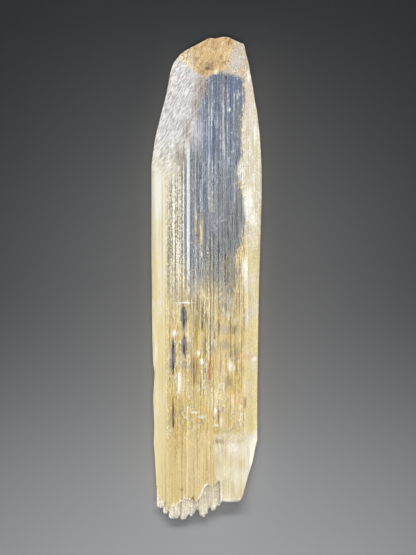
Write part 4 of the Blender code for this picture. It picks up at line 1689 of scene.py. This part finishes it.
    def roughness(self) -> bpy.types.NodeSocket:
        """How dull the surface is.

        Returns:
            The roughness.
        """
        nodes = self.nodes
        rough = nodes.step(self.speck, 0.45, 0.7, 0.14, 0.28)
        rough = nodes.mix(self.low, rough, 0.3)
        rough = nodes.mix(nodes.math("MAXIMUM", self.left_bevel, self.right_bevel), rough, 0.34)
        rough = nodes.mix(self.flank, rough, 0.40)
        rough = nodes.mix(self.shoulder, rough, 0.42)
        rough = nodes.mix(self.crown, rough, 0.6)
        return nodes.mix(self.foot, rough, 0.1)

    def slanting_lines(self) -> bpy.types.NodeSocket:
        """Fine etch lines that run up to the right across the flank.

        Returns:
            A noise drawn out along them.
        """
        nodes, place = self.nodes, self.place
        fine = nodes.grain(place, (1.3, 0.16, 2.0), turn=ETCH_TURN, detail=1.0, shift=2.5)
        broad = nodes.grain(place, (4.0, 0.8, 2.0), turn=ETCH_TURN, detail=2.0, shift=8.5)
        return nodes.mix(0.25, fine, broad)

    def relief(self) -> bpy.types.NodeSocket:
        """The relief that is too fine for the mesh.

        Returns:
            The bent normal.
        """
        nodes = self.nodes
        pits = nodes.grain(self.place, (0.35, 0.5, 0.4), detail=2.0, shift=5.0)
        height = nodes.total((self.line, 0.7), (self.dash, 0.3))
        keep = nodes.mix(self.low, nodes.step(self.y, 0.0, -12.0, 1.0, 0.5), 0.12)
        height = nodes.math("MULTIPLY", height, keep)
        height = nodes.mix(self.flank, height, self.slanting_lines())
        height = nodes.mix(nodes.math("MAXIMUM", self.crown, self.shoulder), height, pits)
        height = nodes.mix(self.foot, height, 0.5)
        bump = nodes.tree.nodes.new("ShaderNodeBump")
        bump.inputs["Strength"].default_value = self.finish.bump_strength
        bump.inputs["Distance"].default_value = self.finish.bump_height * MM
        nodes.put(bump, "Height", height)
        return bump.outputs[0]


@dataclass
class Crystal:
    """The whole crystal, as one closed piece."""

    blade: Blade = field(default_factory=Blade)
    fingers: FingerCluster = field(default_factory=FingerCluster)
    finish: SpodumeneFinish = field(default_factory=SpodumeneFinish)
    piece: bpy.types.Object | None = None

    def build(self) -> None:
        """Shapes the blade and joins its fingers to it."""
        self.piece = self.blade.build()
        blade_faces = len(self.piece.data.polygons)
        apply_union(self.piece, self.fingers.build())
        if len(self.piece.data.polygons) < blade_faces:
            raise RuntimeError("joining the fingers lost the blade")
        select_only(self.piece)
        bpy.ops.object.shade_smooth_by_angle(angle=SMOOTH_BELOW)
        log.info("crystal: %d faces", len(self.piece.data.polygons))

    def dress(self) -> None:
        """Gives the crystal its finish and puts it in the frame."""
        self.piece.data.materials.clear()
        self.piece.data.materials.append(self.finish.build(self.blade))
        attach(self.piece, "root")
        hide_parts(CRYSTAL_NODE)


class Lit(Enum):
    """What a softbox lights."""

    CRYSTAL = "crystal_light"
    FLOOR = "floor_light"


@dataclass(frozen=True)
class Softbox:
    """A rectangular soft light: its place and aim in millimetres, and its glow."""

    name: str
    place: tuple[float, float, float]
    aim: tuple[float, float, float]
    width: float
    height: float
    glow: float
    colour: tuple[float, float, float] = (1.0, 1.0, 1.0)
    spread: float = 180.0
    lit: Lit = Lit.CRYSTAL
    seen_through: bool = True


@dataclass
class Studio:
    """The floor, the lights and the camera."""

    pixels_high: int = 555
    pixel_mm: float = 0.25
    centre: Point = (0.375, 0.375)
    focus_z: float = 8.0
    camera_height: float = 700.0
    sensor: float = 36.0
    floor_radius_m: float = 3.0
    floor_z: float = -0.3
    floor_colour: Colour = (0.355, 0.36, 0.375, 1.0)
    floor_roughness: float = 0.8
    floor_shine: float = 0.2
    surround: float = 0.13
    surround_colour: Colour = (0.5, 0.52, 0.55, 1.0)
    softboxes: tuple[Softbox, ...] = (
        Softbox("veil", (-40, -40, 620), (0, -30, 0), 420, 420, 2.0),
        Softbox("streak", (-150, 0, 600), (0, 0, 0), 110, 500, 4.0, seen_through=False),
        Softbox("left_wide", (-320, 0, 150), (0, 0, 6), 420, 260, 2.2),
        Softbox("right_wide", (320, 0, 150), (0, 0, 6), 420, 260, 2.4, (1.0, 0.97, 0.92)),
        Softbox("left_low", (-330, 10, 46), (0, 0, 6), 360, 60, 6.0, seen_through=False),
        Softbox("right_low", (330, 0, 40), (0, 0, 6), 360, 60, 6.0, seen_through=False),
        Softbox("top_low", (0, 340, 160), (0, 30, 6), 300, 220, 3.0),
        Softbox("foot", (0, -260, 200), (0, -50, 6), 300, 200, 3.2),
        Softbox("floor_even", (0, -18, 300), (0, -18, 0), 80, 80, 0.55, spread=32.0, lit=Lit.FLOOR),
        Softbox("pool", (0, 40, 240), (0, -100, 0), 260, 24, 2.6, spread=40.0, lit=Lit.FLOOR),
        Softbox("pool_low", (0, -100, 240), (0, -92, 0), 130, 12, 1.8, spread=30.0, lit=Lit.FLOOR),
    )

    def add_floor(self) -> bpy.types.Object:
        """Lays a plain pale floor just under the crystal.

        Returns:
            The floor.
        """
        deselect_all()
        bpy.ops.mesh.primitive_circle_add(
            vertices=96, radius=self.floor_radius_m, fill_type="NGON",
            location=(0.0, 0.0, self.floor_z * MM),
        )
        floor = bpy.context.object
        floor.name = "floor"
        bpy.ops.object.transform_apply(location=True, rotation=True, scale=True)
        material = bpy.data.materials.new("floor_paint")
        material.use_nodes = True
        shader = material.node_tree.nodes["Principled BSDF"]
        shader.inputs["Base Color"].default_value = self.floor_colour
        shader.inputs["Roughness"].default_value = self.floor_roughness
        shader.inputs["Specular IOR Level"].default_value = self.floor_shine
        floor.data.materials.append(material)
        return floor

    def add_softbox(self, box: Softbox, groups: dict[Lit, bpy.types.Collection]) -> None:
        """Places a soft light.

        Args:
            box: The light.
            groups: The pieces that each kind of softbox lights.
        """
        light = bpy.data.lights.new(box.name, "AREA")
        light.shape = "RECTANGLE"
        light.size, light.size_y = box.width * MM, box.height * MM
        light.energy = box.glow * math.pi * box.width * box.height * MM * MM
        light.color = box.colour
        light.spread = math.radians(box.spread)
        obj = bpy.data.objects.new(box.name, light)
        bpy.context.scene.collection.objects.link(obj)
        obj.location = Vector(box.place) * MM
        way = Vector(box.aim) - Vector(box.place)
        obj.rotation_euler = way.to_track_quat("-Z", "Y").to_euler()
        obj.visible_camera = False
        obj.visible_transmission = box.seen_through
        obj.light_linking.receiver_collection = groups[box.lit]

    def add_lights(self, crystal: bpy.types.Object, floor: bpy.types.Object) -> None:
        """Sets up the softboxes and a dim surround.

        Args:
            crystal: The crystal, with lights of its own.
            floor: The floor, with lights of its own.
        """
        groups = {}
        for lit, obj in ((Lit.CRYSTAL, crystal), (Lit.FLOOR, floor)):
            groups[lit] = bpy.data.collections.new(lit.value)
            groups[lit].objects.link(obj)
        for box in self.softboxes:
            self.add_softbox(box, groups)
        world = bpy.data.worlds.new("studio")
        world.use_nodes = True
        background = world.node_tree.nodes["Background"]
        background.inputs["Color"].default_value = self.surround_colour
        background.inputs["Strength"].default_value = self.surround
        bpy.context.scene.world = world

    def add_camera(self) -> None:
        """A long lens straight above the crystal, with +Y up the picture."""
        camera = bpy.data.cameras.new("camera")
        seen = self.pixels_high * self.pixel_mm
        camera.sensor_fit = "VERTICAL"
        camera.sensor_height = self.sensor
        camera.lens = self.sensor * self.camera_height / seen
        camera.clip_start, camera.clip_end = 0.01, 20.0
        obj = bpy.data.objects.new("camera", camera)
        bpy.context.scene.collection.objects.link(obj)
        obj.location = Vector((*self.centre, self.focus_z + self.camera_height)) * MM
        bpy.context.scene.camera = obj

    def build(self, crystal: bpy.types.Object) -> None:
        """Sets up everything around the crystal.

        Args:
            crystal: The crystal.
        """
        self.add_lights(crystal, self.add_floor())
        self.add_camera()
        bpy.context.scene.view_settings.view_transform = "Standard"


def main() -> None:
    """Builds the crystal and its studio."""
    logging.basicConfig(level=logging.INFO, format="%(name)s: %(message)s")
    crystal = Crystal()
    crystal.build()
    crystal.dress()
    Studio().build(crystal.piece)


if __name__ == "__main__":
    main()
